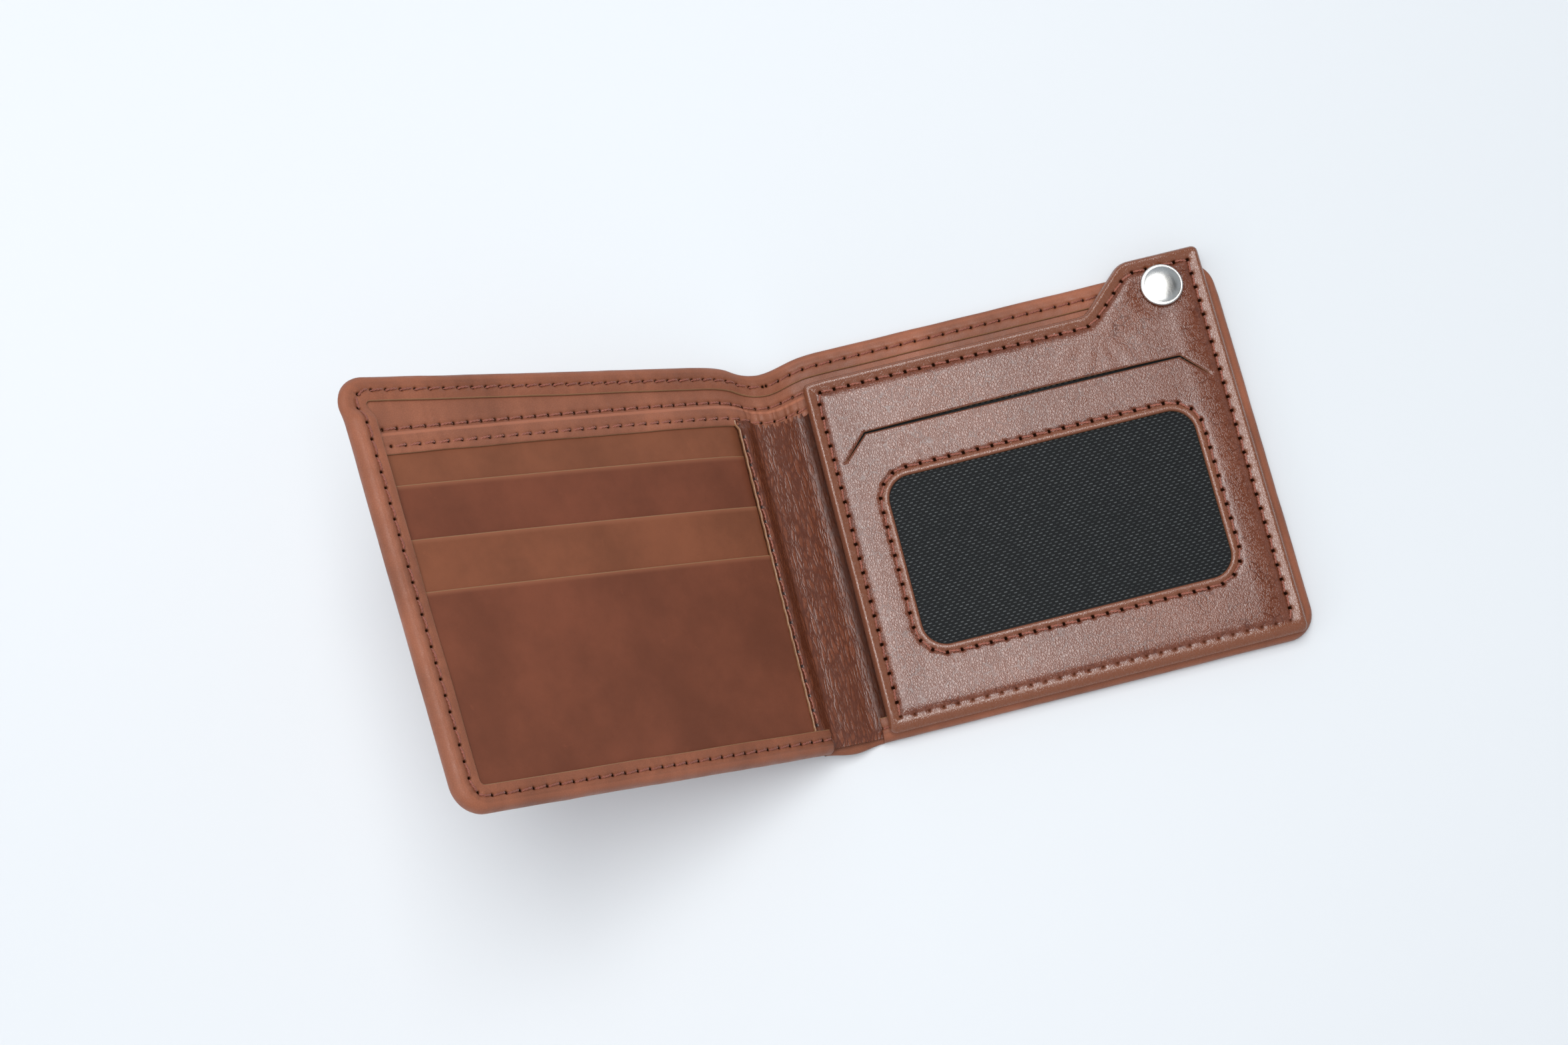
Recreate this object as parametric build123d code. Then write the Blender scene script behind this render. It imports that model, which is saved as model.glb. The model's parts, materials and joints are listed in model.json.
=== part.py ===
from build123d import *
import os
from math import cos, radians, sin

os.makedirs("parts", exist_ok=True)

# A bifold leather wallet, in millimetres. Every piece is laid out flat first: x runs across the open
# wallet from the middle of the spine, y from its bottom edge to the bill opening at its top edge, and z
# up from the outside of the cover. The spine and the left wing are then folded up to where they rest.

# The open wallet
wing_reach = 110.0
cover_height = 92.5
corner_radius = 6.5
crease_offset = 6.0
rest_fold = 21.0

# Leather, cloth and thread
cover_t = 1.0
lining_t = 0.2
facing_t = 0.6
hem_t = 0.6
panel_cloth_t = 0.15
panel_t = 0.45
pocket_t = 0.4
binding_t = 0.5
thread_t = 0.15
thread_w = 0.5

# The edge of the cover, turned over to the inside and sewn down
hem_width = 5.5
edge_wall = 1.0
hem_stitch_inset = 2.9
hem_step_y = 84.5

# The bill compartment's facing, and the inner panels with their bound top edge
facing_bottom_y = 80.0
facing_stitch_y = 85.8
panel_underside = 2.0
panel_bottom_y = 1.2
panel_top_y = 83.6
binding_top_y = 84.0
binding_bottom_y = 77.4
binding_stitch_y = 80.2
panel_margin = 1.3

# The three card pockets of the left wing, from the back one to the front one
slot_edges_y = (70.8, 58.5, 46.8)
pocket_overlap = 9.0
slip_pocket_top_y = 62.0

# The inner spine leather, sewn over the card pockets on one side and under the insert on the other
seam_edge_x = 12.3
seam_stitch_x = 11.3
spine_leather_t = 0.6
spine_leather_end_x = 17.0
spine_leather_bottom_y = 1.0
spine_leather_top_y = 79.0

# The removable card insert
insert_x = 9.2
insert_y = 1.2
insert_z = 3.9
insert_width = 98.0
insert_height = 83.5
insert_thickness = 3.2
insert_leather_t = 0.8
insert_corner = 1.5
insert_stitch_inset = 3.0
insert_rim = 3.0
tab_height = 10.3
tab_foot_x = 68.0
tab_foot_radius = 4.0
tab_shoulder_x = 79.0
tab_shoulder_radius = 8.0
window_size = (72.7, 40.0)
window_centre = (49.35, 36.7)
window_radius = 5.5
window_stitch_gap = 2.0
slot_line = ((5.7, 63.0), (11.4, 68.6), (86.8, 68.6), (92.4, 63.0))
slot_width = 0.8
mesh_t = 0.25
divider_t = 0.3

# The snap that holds the insert
snap_u = 87.2
snap_v = 85.9
cap_radius = 5.0
cap_rim = 0.5
cap_rise = 1.7
rivet_radius = 1.5
rivet_head_radius = 3.5
stud_flange_radius = 4.5
stud_flange_t = 0.5
stud_neck_radius = 1.9
stud_bulb_radius = 2.1
spring_bore_radius = 2.3
spring_radius = 2.7
socket_bore_radius = 2.9
socket_radius = 3.5
socket_flange_radius = 4.5
snap_gap = 0.2
patch_reach = 7.0
patch_bottom_y = 80.5
bore_gap = 0.1

# Heights worked out from the thicknesses
crease_z = cover_t / 2
lining_top = cover_t + lining_t
facing_top = lining_top + facing_t
panel_z = panel_underside + panel_cloth_t
panel_top = panel_z + panel_t
pockets_top = panel_top + len(slot_edges_y) * pocket_t
slip_pocket_top = panel_top + pocket_t
insert_top = insert_z + insert_thickness
wing_hem_y = cover_height - hem_width


def setback(top):
    """How far a piece that reaches height top stays from a crease, so that it clears its neighbour when shut."""
    return max(top - crease_z + 0.25, 0.7)


def wing_start(top):
    """Where a wing's piece that reaches height top begins, just outside the crease."""
    return crease_offset + setback(top)


def spine_end(top):
    """Where a spine's piece that reaches height top ends, just inside the crease."""
    return crease_offset - setback(top)


def slab(x_range, y_range, z_range):
    size = [high - low for low, high in (x_range, y_range, z_range)]
    middle = [(high + low) / 2 for low, high in (x_range, y_range, z_range)]
    return Pos(*middle) * Box(*size)


def raised(face, low, high):
    """A flat outline as a solid between two heights."""
    return Pos(0, 0, low) * extrude(face, high - low)


def wing_outline(inset, start):
    """The wing's outline, drawn in by inset on its three free sides. The two outer corners are round."""
    width = wing_reach - inset - start
    height = cover_height - 2 * inset
    outline = Pos(start + width / 2, cover_height / 2) * Rectangle(width, height)
    outer_corners = outline.vertices().group_by(Axis.X)[-1]
    return fillet(outer_corners, max(corner_radius - inset, 1.5))


# ---- The cover, its lining and the facing of the bill compartment ----


def turned_edge(over, y_range):
    """The cover's edge, folded up and over the pieces inside it, which end at height over."""
    top = over + hem_t
    start = wing_start(top)
    ring = wing_outline(0, start) - wing_outline(hem_width, start - 1)
    groove = raised(wing_outline(edge_wall, start - 1), cover_t, over)
    kept = slab((start, wing_reach + 1), y_range, (cover_t, top))
    return (raised(ring, cover_t, top) - groove) & kept


def wing_cover(over):
    """One wing of the cover. Its edge is low beside the facing and higher where it holds the panel in."""
    plate = raised(wing_outline(0, wing_start(cover_t)), 0, cover_t)
    beside_panel = turned_edge(over, (-1, hem_step_y))
    beside_facing = turned_edge(facing_top, (hem_step_y, cover_height + 1))
    return plate + beside_panel + beside_facing


def spine_cover():
    """The cover between the creases. Its two long edges are round about the crease lines."""
    plate = slab((-crease_offset, crease_offset), (0, cover_height), (0, cover_t))
    for side in (-1, 1):
        middle = Pos(side * crease_offset, cover_height / 2, crease_z)
        plate += middle * Rot(90, 0, 0) * Cylinder(crease_z, cover_height)
    top_end = spine_end(facing_top + hem_t)
    top_wall = slab((-top_end, top_end), (cover_height - edge_wall, cover_height), (cover_t, facing_top))
    top_hem = slab((-top_end, top_end), (wing_hem_y, cover_height), (facing_top, facing_top + hem_t))
    foot_end = spine_end(cover_t + hem_t)
    foot_hem = slab((-foot_end, foot_end), (0, hem_width), (cover_t, cover_t + hem_t))
    return plate + top_wall + top_hem + foot_hem


def wing_lining():
    outline = wing_outline(edge_wall, wing_start(lining_top))
    return raised(outline, cover_t, lining_top)


def spine_lining():
    end = spine_end(lining_top)
    return slab((-end, end), (hem_width, cover_height - edge_wall), (cover_t, lining_top))


def wing_facing():
    outline = wing_outline(edge_wall, wing_start(facing_top))
    strip = slab((0, wing_reach), (facing_bottom_y, cover_height), (lining_top, facing_top))
    return raised(outline, lining_top, facing_top) & strip


def spine_facing():
    end = spine_end(facing_top)
    y_range = (facing_bottom_y, cover_height - edge_wall)
    return slab((-end, end), y_range, (lining_top, facing_top))


# ---- The inner panels and pockets ----


def panel_piece(y_range, z_range, start):
    """A flat piece of an inner panel, with its outer end held under the cover's turned edge."""
    outline = wing_outline(panel_margin, start)
    piece = raised(outline, *z_range)
    return piece & slab((start, wing_reach), y_range, z_range)


def card_pocket(number):
    """A card pocket's front. It lies over the one behind it and under the next one."""
    low = panel_top + number * pocket_t
    is_front = number == len(slot_edges_y) - 1
    foot = panel_bottom_y if is_front else slot_edges_y[number + 1] - pocket_overlap
    y_range = (foot, slot_edges_y[number])
    return panel_piece(y_range, (low, low + pocket_t), wing_start(pockets_top))


def wing_binding(outer_end):
    """The leather folded over an inner panel's top edge."""
    top = panel_top + binding_t
    start = wing_start(top)
    front = slab((start, outer_end), (binding_bottom_y, binding_top_y), (panel_top, top))
    fold = slab((start, outer_end), (panel_top_y, binding_top_y), (panel_underside, panel_top))
    return front + fold


def spine_binding():
    top = panel_top + binding_t
    end = spine_end(top)
    front = slab((-end, end), (binding_bottom_y, binding_top_y), (panel_top, top))
    fold = slab((-end, end), (spine_leather_top_y, binding_top_y), (panel_underside, panel_top))
    return front + fold


def spine_leather_over_pockets():
    """Climbs from the crease on to the card pockets and ends in the raw edge beside the seam."""
    low = panel_underside
    high = pockets_top
    start = wing_start(low + spine_leather_t)
    pocket_start = wing_start(pockets_top) - 0.15
    profile = Polyline(
        (start, low),
        (pocket_start - 0.3, low),
        (pocket_start, high),
        (seam_edge_x, high),
        (seam_edge_x, high + spine_leather_t),
        (pocket_start, high + spine_leather_t),
        (start, low + spine_leather_t),
        close=True,
    )
    section = Plane.XZ * make_face(profile)
    length = binding_bottom_y - hem_width
    return Pos(0, binding_bottom_y, 0) * extrude(section, length)


# ---- The card insert ----


def insert_outline(inset):
    """The insert's outline: a rectangle whose top right corner rises into the snap's tab."""
    corners = Polyline(
        (0, 0),
        (insert_width, 0),
        (insert_width, insert_height + tab_height),
        (tab_shoulder_x, insert_height + tab_height),
        (tab_foot_x, insert_height),
        (0, insert_height),
        close=True,
    )
    outline = make_face(corners)
    if inset:
        outline = offset(outline, amount=-inset, kind=Kind.INTERSECTION)
    shoulder = outline.vertices().sort_by_distance((tab_shoulder_x, insert_height + tab_height))[0]
    outline = fillet(shoulder, tab_shoulder_radius)
    foot = outline.vertices().sort_by_distance((tab_foot_x, insert_height))[0]
    outline = fillet(foot, tab_foot_radius)
    square = [v for v in outline.vertices() if is_square_corner(v, inset)]
    return Pos(insert_x, insert_y) * fillet(square, insert_corner)


def is_square_corner(vertex, inset):
    """True at the four corners where the insert's straight sides meet at a right angle."""
    top = insert_height + tab_height
    corners = ((0, 0), (insert_width, 0), (insert_width, top), (0, insert_height))
    return any(abs(vertex.X - x) + abs(vertex.Y - y) < 2 * inset + 0.01 for x, y in corners)


def window_outline(margin):
    """The insert's window, or with a margin the line that runs round it."""
    width, height = window_size
    middle = Pos(insert_x + window_centre[0], insert_y + window_centre[1])
    return middle * RectangleRounded(width + 2 * margin, height + 2 * margin, window_radius + margin)


def insert_slot():
    """The card slot's cut: a long straight line with its two ends turned down."""
    line = Polyline(*slot_line)
    return Pos(insert_x, insert_y) * trace(line, slot_width)


def insert_half(low, high, leather_low):
    """One face of the insert: leather, with its edge turned in as a rim that meets the other face."""
    block = raised(insert_outline(0), low, high)
    hollow_low = low if leather_low > low else low + insert_leather_t
    hollow_high = leather_low if leather_low > low else high
    return block - raised(insert_outline(insert_rim), hollow_low, hollow_high)


def snap_axis():
    return Pos(insert_x + snap_u, insert_y + snap_v)


def disc(radius, low, high):
    """A round piece on the snap's own axis."""
    return snap_axis() * Pos(0, 0, (low + high) / 2) * Cylinder(radius, high - low)


def insert_front():
    middle = insert_z + insert_thickness / 2
    front = insert_half(middle, insert_top, insert_top - insert_leather_t)
    front -= raised(window_outline(0), middle, insert_top)
    front -= raised(insert_slot(), middle, insert_top)
    return front - disc(rivet_radius + bore_gap, middle, insert_top)


def insert_back():
    middle = insert_z + insert_thickness / 2
    back = insert_half(insert_z, middle, insert_z)
    return back - disc(socket_radius + bore_gap, insert_z, middle)


def insert_sheet(low, high, top_v):
    """A thin sheet inside the insert, below its tab."""
    x_range = (insert_x + insert_rim + 0.5, insert_x + insert_width - insert_rim - 0.5)
    y_range = (insert_y + insert_rim + 0.5, insert_y + top_v)
    return slab(x_range, y_range, (low, high))


def stitch_ring(outer, inner, low):
    """Thread that follows an outline."""
    return raised(outer - inner, low, low + thread_t)


# ---- The snap ----


def snap_cap():
    """A domed cap on the insert's face, with the post that holds its socket."""
    crown = cap_rise - cap_rim
    crown_radius = (cap_radius**2 + crown**2) / (2 * crown)
    crown_centre = snap_axis() * Pos(0, 0, insert_top + cap_rise - crown_radius)
    dome = disc(cap_radius, insert_top, insert_top + cap_rise) & (crown_centre * Sphere(crown_radius))
    return dome + disc(rivet_radius, socket_top(), insert_top)


def stud_foot():
    return facing_top + hem_t


def stud_flange_top():
    return stud_foot() + stud_flange_t


def stud_top():
    return stud_flange_top() + 1.9


def socket_foot():
    return stud_flange_top() + snap_gap


def socket_top():
    return stud_top() + snap_gap + 0.4


def snap_stud():
    neck_top = stud_flange_top() + 0.7
    stud = disc(stud_flange_radius, stud_foot(), stud_flange_top())
    stud += disc(stud_neck_radius, stud_flange_top(), neck_top)
    stud += disc(stud_bulb_radius, neck_top, stud_top())
    return stud - disc(rivet_radius, stud_foot(), stud_flange_top() + 0.8)


def stud_rivet():
    head = disc(rivet_head_radius, cover_t, lining_top)
    return head + disc(rivet_radius, lining_top, stud_flange_top() + 0.8)


def snap_spring():
    """The ring inside the socket that grips the stud's neck."""
    low = socket_foot() + 0.15
    return disc(spring_radius, low, low + 0.3) - disc(spring_bore_radius, low, low + 0.3)


def snap_socket():
    flange = disc(socket_flange_radius, socket_foot(), insert_z)
    barrel = disc(socket_radius, insert_z, socket_top())
    bore = disc(socket_bore_radius, socket_foot(), stud_top() + snap_gap)
    return flange + barrel - bore


def snap_notch():
    """The corner of the right inner panel that is left out, to make room for the stud and its patch."""
    x_range = (insert_x + snap_u - patch_reach - bore_gap, wing_reach)
    return slab(x_range, (patch_bottom_y - bore_gap, cover_height), (panel_underside, insert_z))


def snap_patch():
    """Leather that fills the corner beside the turned edge, level with it, under the stud."""
    centre_x = insert_x + snap_u
    x_range = (centre_x - patch_reach, wing_reach - hem_width - insert_corner)
    patch = slab(x_range, (patch_bottom_y, wing_hem_y), (facing_top, stud_foot()))
    return patch - disc(rivet_radius + bore_gap, facing_top, stud_foot())


# ---- Every piece, in the body that it moves with ----


def wing_hem_thread(over):
    """The row of stitches along the turned edge of one wing."""
    start = wing_start(over + hem_t + thread_t)
    outer = wing_outline(hem_stitch_inset - thread_w / 2, start)
    inner = wing_outline(hem_stitch_inset + thread_w / 2, start - 1)
    high_part = slab((0, wing_reach), (0, hem_step_y), (over + hem_t, over + hem_t + thread_t))
    low = facing_top + hem_t
    low_part = slab((0, wing_reach), (hem_step_y, cover_height), (low, low + thread_t))
    beside_panel = stitch_ring(outer, inner, over + hem_t) & high_part
    beside_facing = stitch_ring(outer, inner, low) & low_part
    return beside_panel + beside_facing


def straight_thread(x_range, y, low):
    return slab(x_range, (y - thread_w / 2, y + thread_w / 2), (low, low + thread_t))


def right_wing():
    hem_over = slip_pocket_top
    panel_end = wing_reach - hem_width
    rivet_hole = disc(rivet_radius + bore_gap, lining_top, stud_foot())
    head_hole = disc(rivet_head_radius + bore_gap, cover_t, lining_top)
    flap_start = wing_start(panel_top + spine_leather_t)
    flap_y = (hem_width, binding_bottom_y)
    flap_z = (panel_top, panel_top + spine_leather_t)
    pocket_start = spine_leather_end_x + 0.3
    facing_row = (wing_start(facing_top + thread_t), panel_end)
    return {
        "cover_right": wing_cover(hem_over) - rivet_hole,
        "bill_lining_right": wing_lining() - head_hole,
        "bill_facing_right": wing_facing() - rivet_hole,
        "panel_lining_right": panel_piece(
            (panel_bottom_y, panel_top_y), (panel_underside, panel_z), wing_start(panel_top)
        )
        - snap_notch(),
        "inner_panel_right": panel_piece(
            (panel_bottom_y, panel_top_y), (panel_z, panel_top), wing_start(panel_top)
        )
        - snap_notch(),
        "slip_pocket_right": panel_piece(
            (panel_bottom_y, slip_pocket_top_y), (panel_top, slip_pocket_top), pocket_start
        ),
        "panel_binding_right": wing_binding(panel_end) - snap_notch(),
        "spine_leather_right": slab((flap_start, spine_leather_end_x), flap_y, flap_z),
        "hem_thread_right": wing_hem_thread(hem_over) - disc(5, stud_foot(), insert_z),
        "facing_thread_right": straight_thread(facing_row, facing_stitch_y, facing_top)
        - disc(9, facing_top, insert_z),
        "snap_patch": snap_patch(),
        "stud_rivet": stud_rivet(),
        "snap_stud": snap_stud(),
    }


def left_wing():
    """Laid out on the right like its twin. It is mirrored to the left when it is put in place."""
    panel_end = wing_reach - hem_width
    binding_z = panel_top + binding_t
    seam_z = pockets_top + spine_leather_t
    seam_x = (seam_stitch_x - thread_w / 2, seam_stitch_x + thread_w / 2)
    seam_y = (hem_width + 0.5, binding_bottom_y - 0.5)
    nodes = {
        "cover_left": wing_cover(pockets_top),
        "bill_lining_left": wing_lining(),
        "bill_facing_left": wing_facing(),
        "panel_lining_left": panel_piece(
            (panel_bottom_y, panel_top_y), (panel_underside, panel_z), wing_start(pockets_top)
        ),
        "card_panel_left": panel_piece(
            (panel_bottom_y, panel_top_y), (panel_z, panel_top), wing_start(pockets_top)
        ),
        "panel_binding_left": wing_binding(panel_end),
        "spine_leather_left": spine_leather_over_pockets(),
        "hem_thread_left": wing_hem_thread(pockets_top),
        "facing_thread_left": straight_thread(
            (wing_start(facing_top + thread_t), panel_end), facing_stitch_y, facing_top
        ),
        "binding_thread_left": straight_thread(
            (wing_start(binding_z + thread_t), panel_end - 1), binding_stitch_y, binding_z
        ),
        "seam_thread_left": slab(seam_x, seam_y, (seam_z, seam_z + thread_t)),
    }
    for number in range(len(slot_edges_y)):
        nodes[f"card_pocket_{number + 1}"] = card_pocket(number)
    return nodes


def spine():
    leather_top = panel_underside + spine_leather_t
    leather_end = spine_end(leather_top)
    binding_z = panel_top + binding_t
    hem_z = facing_top + hem_t
    hem_end = spine_end(hem_z + thread_t)
    facing_end = spine_end(facing_top + thread_t)
    binding_end = spine_end(binding_z + thread_t)
    return {
        "cover_spine": spine_cover(),
        "bill_lining_spine": spine_lining(),
        "bill_facing_spine": spine_facing(),
        "spine_leather": slab(
            (-leather_end, leather_end),
            (spine_leather_bottom_y, spine_leather_top_y),
            (panel_underside, leather_top),
        ),
        "panel_binding_spine": spine_binding(),
        "hem_thread_spine": straight_thread(
            (-hem_end, hem_end), cover_height - hem_stitch_inset, hem_z
        ),
        "facing_thread_spine": straight_thread((-facing_end, facing_end), facing_stitch_y, facing_top),
        "binding_thread_spine": straight_thread(
            (-binding_end, binding_end), binding_stitch_y, binding_z
        ),
    }


def card_insert():
    mesh_top = insert_top - insert_leather_t
    divider_low = insert_z + insert_leather_t + 0.4
    half_thread = thread_w / 2
    return {
        "insert_front": insert_front(),
        "insert_back": insert_back(),
        "window_mesh": insert_sheet(mesh_top - mesh_t, mesh_top, 76.0),
        "card_divider": insert_sheet(divider_low, divider_low + divider_t, 72.0),
        "border_thread": stitch_ring(
            insert_outline(insert_stitch_inset - half_thread),
            insert_outline(insert_stitch_inset + half_thread),
            insert_top,
        )
        - disc(cap_radius + bore_gap, insert_top, insert_top + thread_t),
        "window_thread": stitch_ring(
            window_outline(window_stitch_gap + half_thread),
            window_outline(window_stitch_gap - half_thread),
            insert_top,
        ),
        "snap_cap": snap_cap(),
        "snap_socket": snap_socket(),
    }


def crease(side):
    """A crease's line in the flat layout."""
    return Axis((side * crease_offset, 0, crease_z), (0, 1, 0))


def placed():
    """Every piece where it rests, before the origin is set."""
    nodes = {**right_wing(), **card_insert(), "snap_spring": snap_spring()}
    for name, piece in spine().items():
        nodes[name] = piece.rotate(crease(1), rest_fold)
    for name, piece in left_wing().items():
        folded = mirror(piece, about=Plane.YZ).rotate(crease(-1), rest_fold)
        nodes[name] = folded.rotate(crease(1), rest_fold)
    return nodes


# The origin is on the resting surface, under the middle of the wallet as it lies open.
nodes = placed()
box = Compound(list(nodes.values())).bounding_box()
to_origin = Vector(-box.center().X, -box.center().Y, -box.min.Z)
nodes = {name: Pos(to_origin) * piece for name, piece in nodes.items()}

spine_slope = Vector(-cos(radians(rest_fold)), 0, sin(radians(rest_fold)))
right_crease = Vector(crease_offset, cover_height / 2, crease_z) + to_origin
left_crease = right_crease + spine_slope * (2 * crease_offset)
snap_centre = Vector(insert_x + snap_u, insert_y + snap_v, 0) + to_origin
print("right crease", right_crease)
print("left crease", left_crease)
print("snap axis", snap_centre)

for name, piece in nodes.items():
    export_step(piece, f"parts/{name}.step")
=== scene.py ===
import json
import math

import bpy
import numpy as np
from mathutils import Matrix, Quaternion, Vector, geometry
from mathutils.kdtree import KDTree


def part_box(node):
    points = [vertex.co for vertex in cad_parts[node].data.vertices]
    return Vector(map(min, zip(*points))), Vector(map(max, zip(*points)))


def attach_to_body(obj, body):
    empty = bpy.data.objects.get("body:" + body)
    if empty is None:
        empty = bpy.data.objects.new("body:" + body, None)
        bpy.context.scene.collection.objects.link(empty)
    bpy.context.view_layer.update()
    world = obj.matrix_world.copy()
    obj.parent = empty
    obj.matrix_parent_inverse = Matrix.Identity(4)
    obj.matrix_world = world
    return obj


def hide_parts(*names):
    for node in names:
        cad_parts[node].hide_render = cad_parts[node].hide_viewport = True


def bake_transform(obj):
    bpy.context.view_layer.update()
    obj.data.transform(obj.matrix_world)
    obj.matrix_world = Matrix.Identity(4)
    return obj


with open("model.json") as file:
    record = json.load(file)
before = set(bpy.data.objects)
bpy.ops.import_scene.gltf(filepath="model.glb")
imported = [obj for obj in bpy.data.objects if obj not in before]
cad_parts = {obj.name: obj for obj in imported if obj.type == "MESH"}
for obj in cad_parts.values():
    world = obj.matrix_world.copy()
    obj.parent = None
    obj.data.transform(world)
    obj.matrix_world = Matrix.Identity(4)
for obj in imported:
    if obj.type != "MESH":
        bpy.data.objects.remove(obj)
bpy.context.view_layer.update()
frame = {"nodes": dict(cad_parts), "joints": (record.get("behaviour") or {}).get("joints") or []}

# Lengths are in millimetres in the wallet's flat layout, as in the CAD source: x across the open wallet
# from the middle of the spine, y up from its bottom edge, z up from the outside of the cover.
MM = 0.001
joint = {j["name"]: j for j in frame["joints"]}
right_pivot = np.array(joint["right_crease"]["pos_m"]) / MM
left_pivot = np.array(joint["left_crease"]["pos_m"]) / MM
rest_fold = math.radians(21.0)
crease = np.linalg.norm(right_pivot - left_pivot) / 2
crease_z = right_pivot[2]


def cad_box(node):
    low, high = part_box(node)
    return np.array(low) / MM, np.array(high) / MM


cover_low, cover_high = cad_box("cover_right")
origin = np.array([right_pivot[0] - crease, cover_low[1], 0.0])
reach = cover_high[0] - origin[0]
height = cover_high[1] - cover_low[1]

# The layers of leather and cloth, as the CAD nodes have them
cover_t = 2 * crease_z
lining_top = cover_t + 0.2
facing_top = lining_top + 0.6
panel_low = 2.0
panel_top = 2.6
pocket_t = 0.4
pockets_top = panel_top + 3 * pocket_t
slip_pocket_top = panel_top + pocket_t
hem_t = 0.6
corner_radius = 6.5
hem_width = 5.5
hem_stitch = 3.2
facing_stitch_y = 84.1
panel_top_y = 82.9
binding_top_y = 83.1
binding_bottom_y = 78.0
binding_stitch_y = 79.9
slot_edges = (70.8, 58.5, 46.8)
hidden_from_x = 87
seam_edge_x = 12.3
seam_stitch_x = 11.3
spine_leather_end = 17.0
stitch_pitch = 3.4
hole_radius = 0.42
bend_half = 4.5
mesh_row = 0.70
mesh_dash = 1.42


# ---------------------------------------------------------------- shapes


def smooth(t):
    t = np.clip(t, 0, 1)
    return t * t * (3 - 2 * t)


def hash_grid(ix, iy, seed):
    """A repeatable random number from 0 to 1 for each whole-number place."""
    n = (ix.astype(np.int64) * 374761393 + iy.astype(np.int64) * 668265263 + seed * 974634777) & 0x7FFFFFFF
    n = ((n ^ (n >> 13)) * 1274126177) & 0x7FFFFFFF
    return ((n ^ (n >> 16)) & 0xFFFF) / 65535.0


def value_noise(x, y, seed):
    ix, iy = np.floor(x), np.floor(y)
    fx, fy = smooth(x - ix), smooth(y - iy)
    a = hash_grid(ix, iy, seed) * (1 - fx) + hash_grid(ix + 1, iy, seed) * fx
    b = hash_grid(ix, iy + 1, seed) * (1 - fx) + hash_grid(ix + 1, iy + 1, seed) * fx
    return (a * (1 - fy) + b * fy) * 2 - 1


def ripple(x, y, size, seed, octaves=3):
    """Uneven waves from -1 to 1, about size millimetres apart."""
    total, share, span = 0.0, 0.0, 1.0
    for octave in range(octaves):
        total = total + span * value_noise(x / size * 2**octave, y / size * 2**octave, seed + octave)
        share += span
        span *= 0.5
    return total / share


def turn(points, pivot_x, angle):
    """Turns points about the line at pivot_x, parallel to y, each by its own angle."""
    dx, dz = points[:, 0] - pivot_x, points[:, 2] - crease_z
    c, s = np.cos(angle), np.sin(angle)
    turned = points.copy()
    turned[:, 0] = pivot_x + dx * c + dz * s
    turned[:, 2] = crease_z - dx * s + dz * c
    return turned


def sag(points):
    """The raised wing's soft leather: its top outer corner hangs back a little, and the sheet waves."""
    out = np.maximum(-points[:, 0] - 14, 0) / (reach - 14)
    out = 1.12 * out**2 / (out + 0.12)
    up = points[:, 1] / height
    hang = out * (8.0 * up - 1.5 * (1 - up)) + 0.3 * out * ripple(points[:, 0], points[:, 1], 38, 5, 2)
    moved = points.copy()
    moved[:, 2] -= hang
    return moved


def slump(points):
    """The cover's top edge dips where it bends over the spine, and its top outer corner flares out."""
    x, y = points[:, 0], points[:, 1]
    dip = 2.6 * np.exp(-(((x + 1.0) / 7.5) ** 2)) * smooth((y - 62) / 26)
    flare = 1.5 * (np.maximum(-x, 0) / reach) ** 2 * smooth((y - 70) / 22)
    moved = points.copy()
    moved[:, 1] += flare - dip
    return moved


def settle(points):
    """The card panel's outer end sits a little lower in the side hem than it was cut."""
    out = np.maximum(-points[:, 0], 0) / reach
    y = points[:, 1]
    drop = 2.2 * out**1.3 * np.clip((y - 20) / 60, 0, 1) + 1.5 * out**2 * smooth((y - 70) / 22)
    moved = np.array(points, float)
    moved[:, 1] -= drop
    return moved


def fold(points):
    """Carries points from the flat layout to where the wallet rests, in millimetres in the row frame."""
    points = slump(points)
    x = points[:, 0]
    left = smooth((-crease + bend_half - x) / (2 * bend_half))
    right = smooth((crease + bend_half - x) / (2 * bend_half))
    folded = turn(sag(points), -crease, left * rest_fold)
    return turn(folded, crease, right * rest_fold) + origin


def on_fold(x):
    """The point of the bent sheet at x, in metres."""
    return tuple(fold(np.array([[x, height / 2, crease_z]]))[0] * MM)


# ---------------------------------------------------------------- pieces


def attach(obj, where):
    """where is a body, or 'right crease' or 'left crease' for leather at that crease, whose place is baked
    into its mesh.
    """
    if where == "right crease":
        start, end = on_fold(crease + bend_half), on_fold(crease - bend_half)
        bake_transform(obj)
    elif where == "left crease":
        start, end = on_fold(-crease + bend_half), on_fold(-crease - bend_half)
        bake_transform(obj)
    else:
        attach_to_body(obj, where)


def part_ends(verts, faces, marks):
    """Gives the end faces in the middle of the spine points of their own, so that no seam shades there."""
    faces, extra = [tuple(map(int, f)) for f in faces], []
    for i, face in enumerate(faces):
        if np.abs(verts[list(face), 0]).max() < 1e-6:
            start = len(verts) + len(extra)
            extra += face
            faces[i] = tuple(range(start, start + len(face)))
    if extra:
        verts = np.vstack([verts, verts[extra]])
        marks = {k: np.concatenate([np.asarray(v), np.asarray(v)[extra]]) for k, v in (marks or {}).items()}
    return verts, faces, marks


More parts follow.
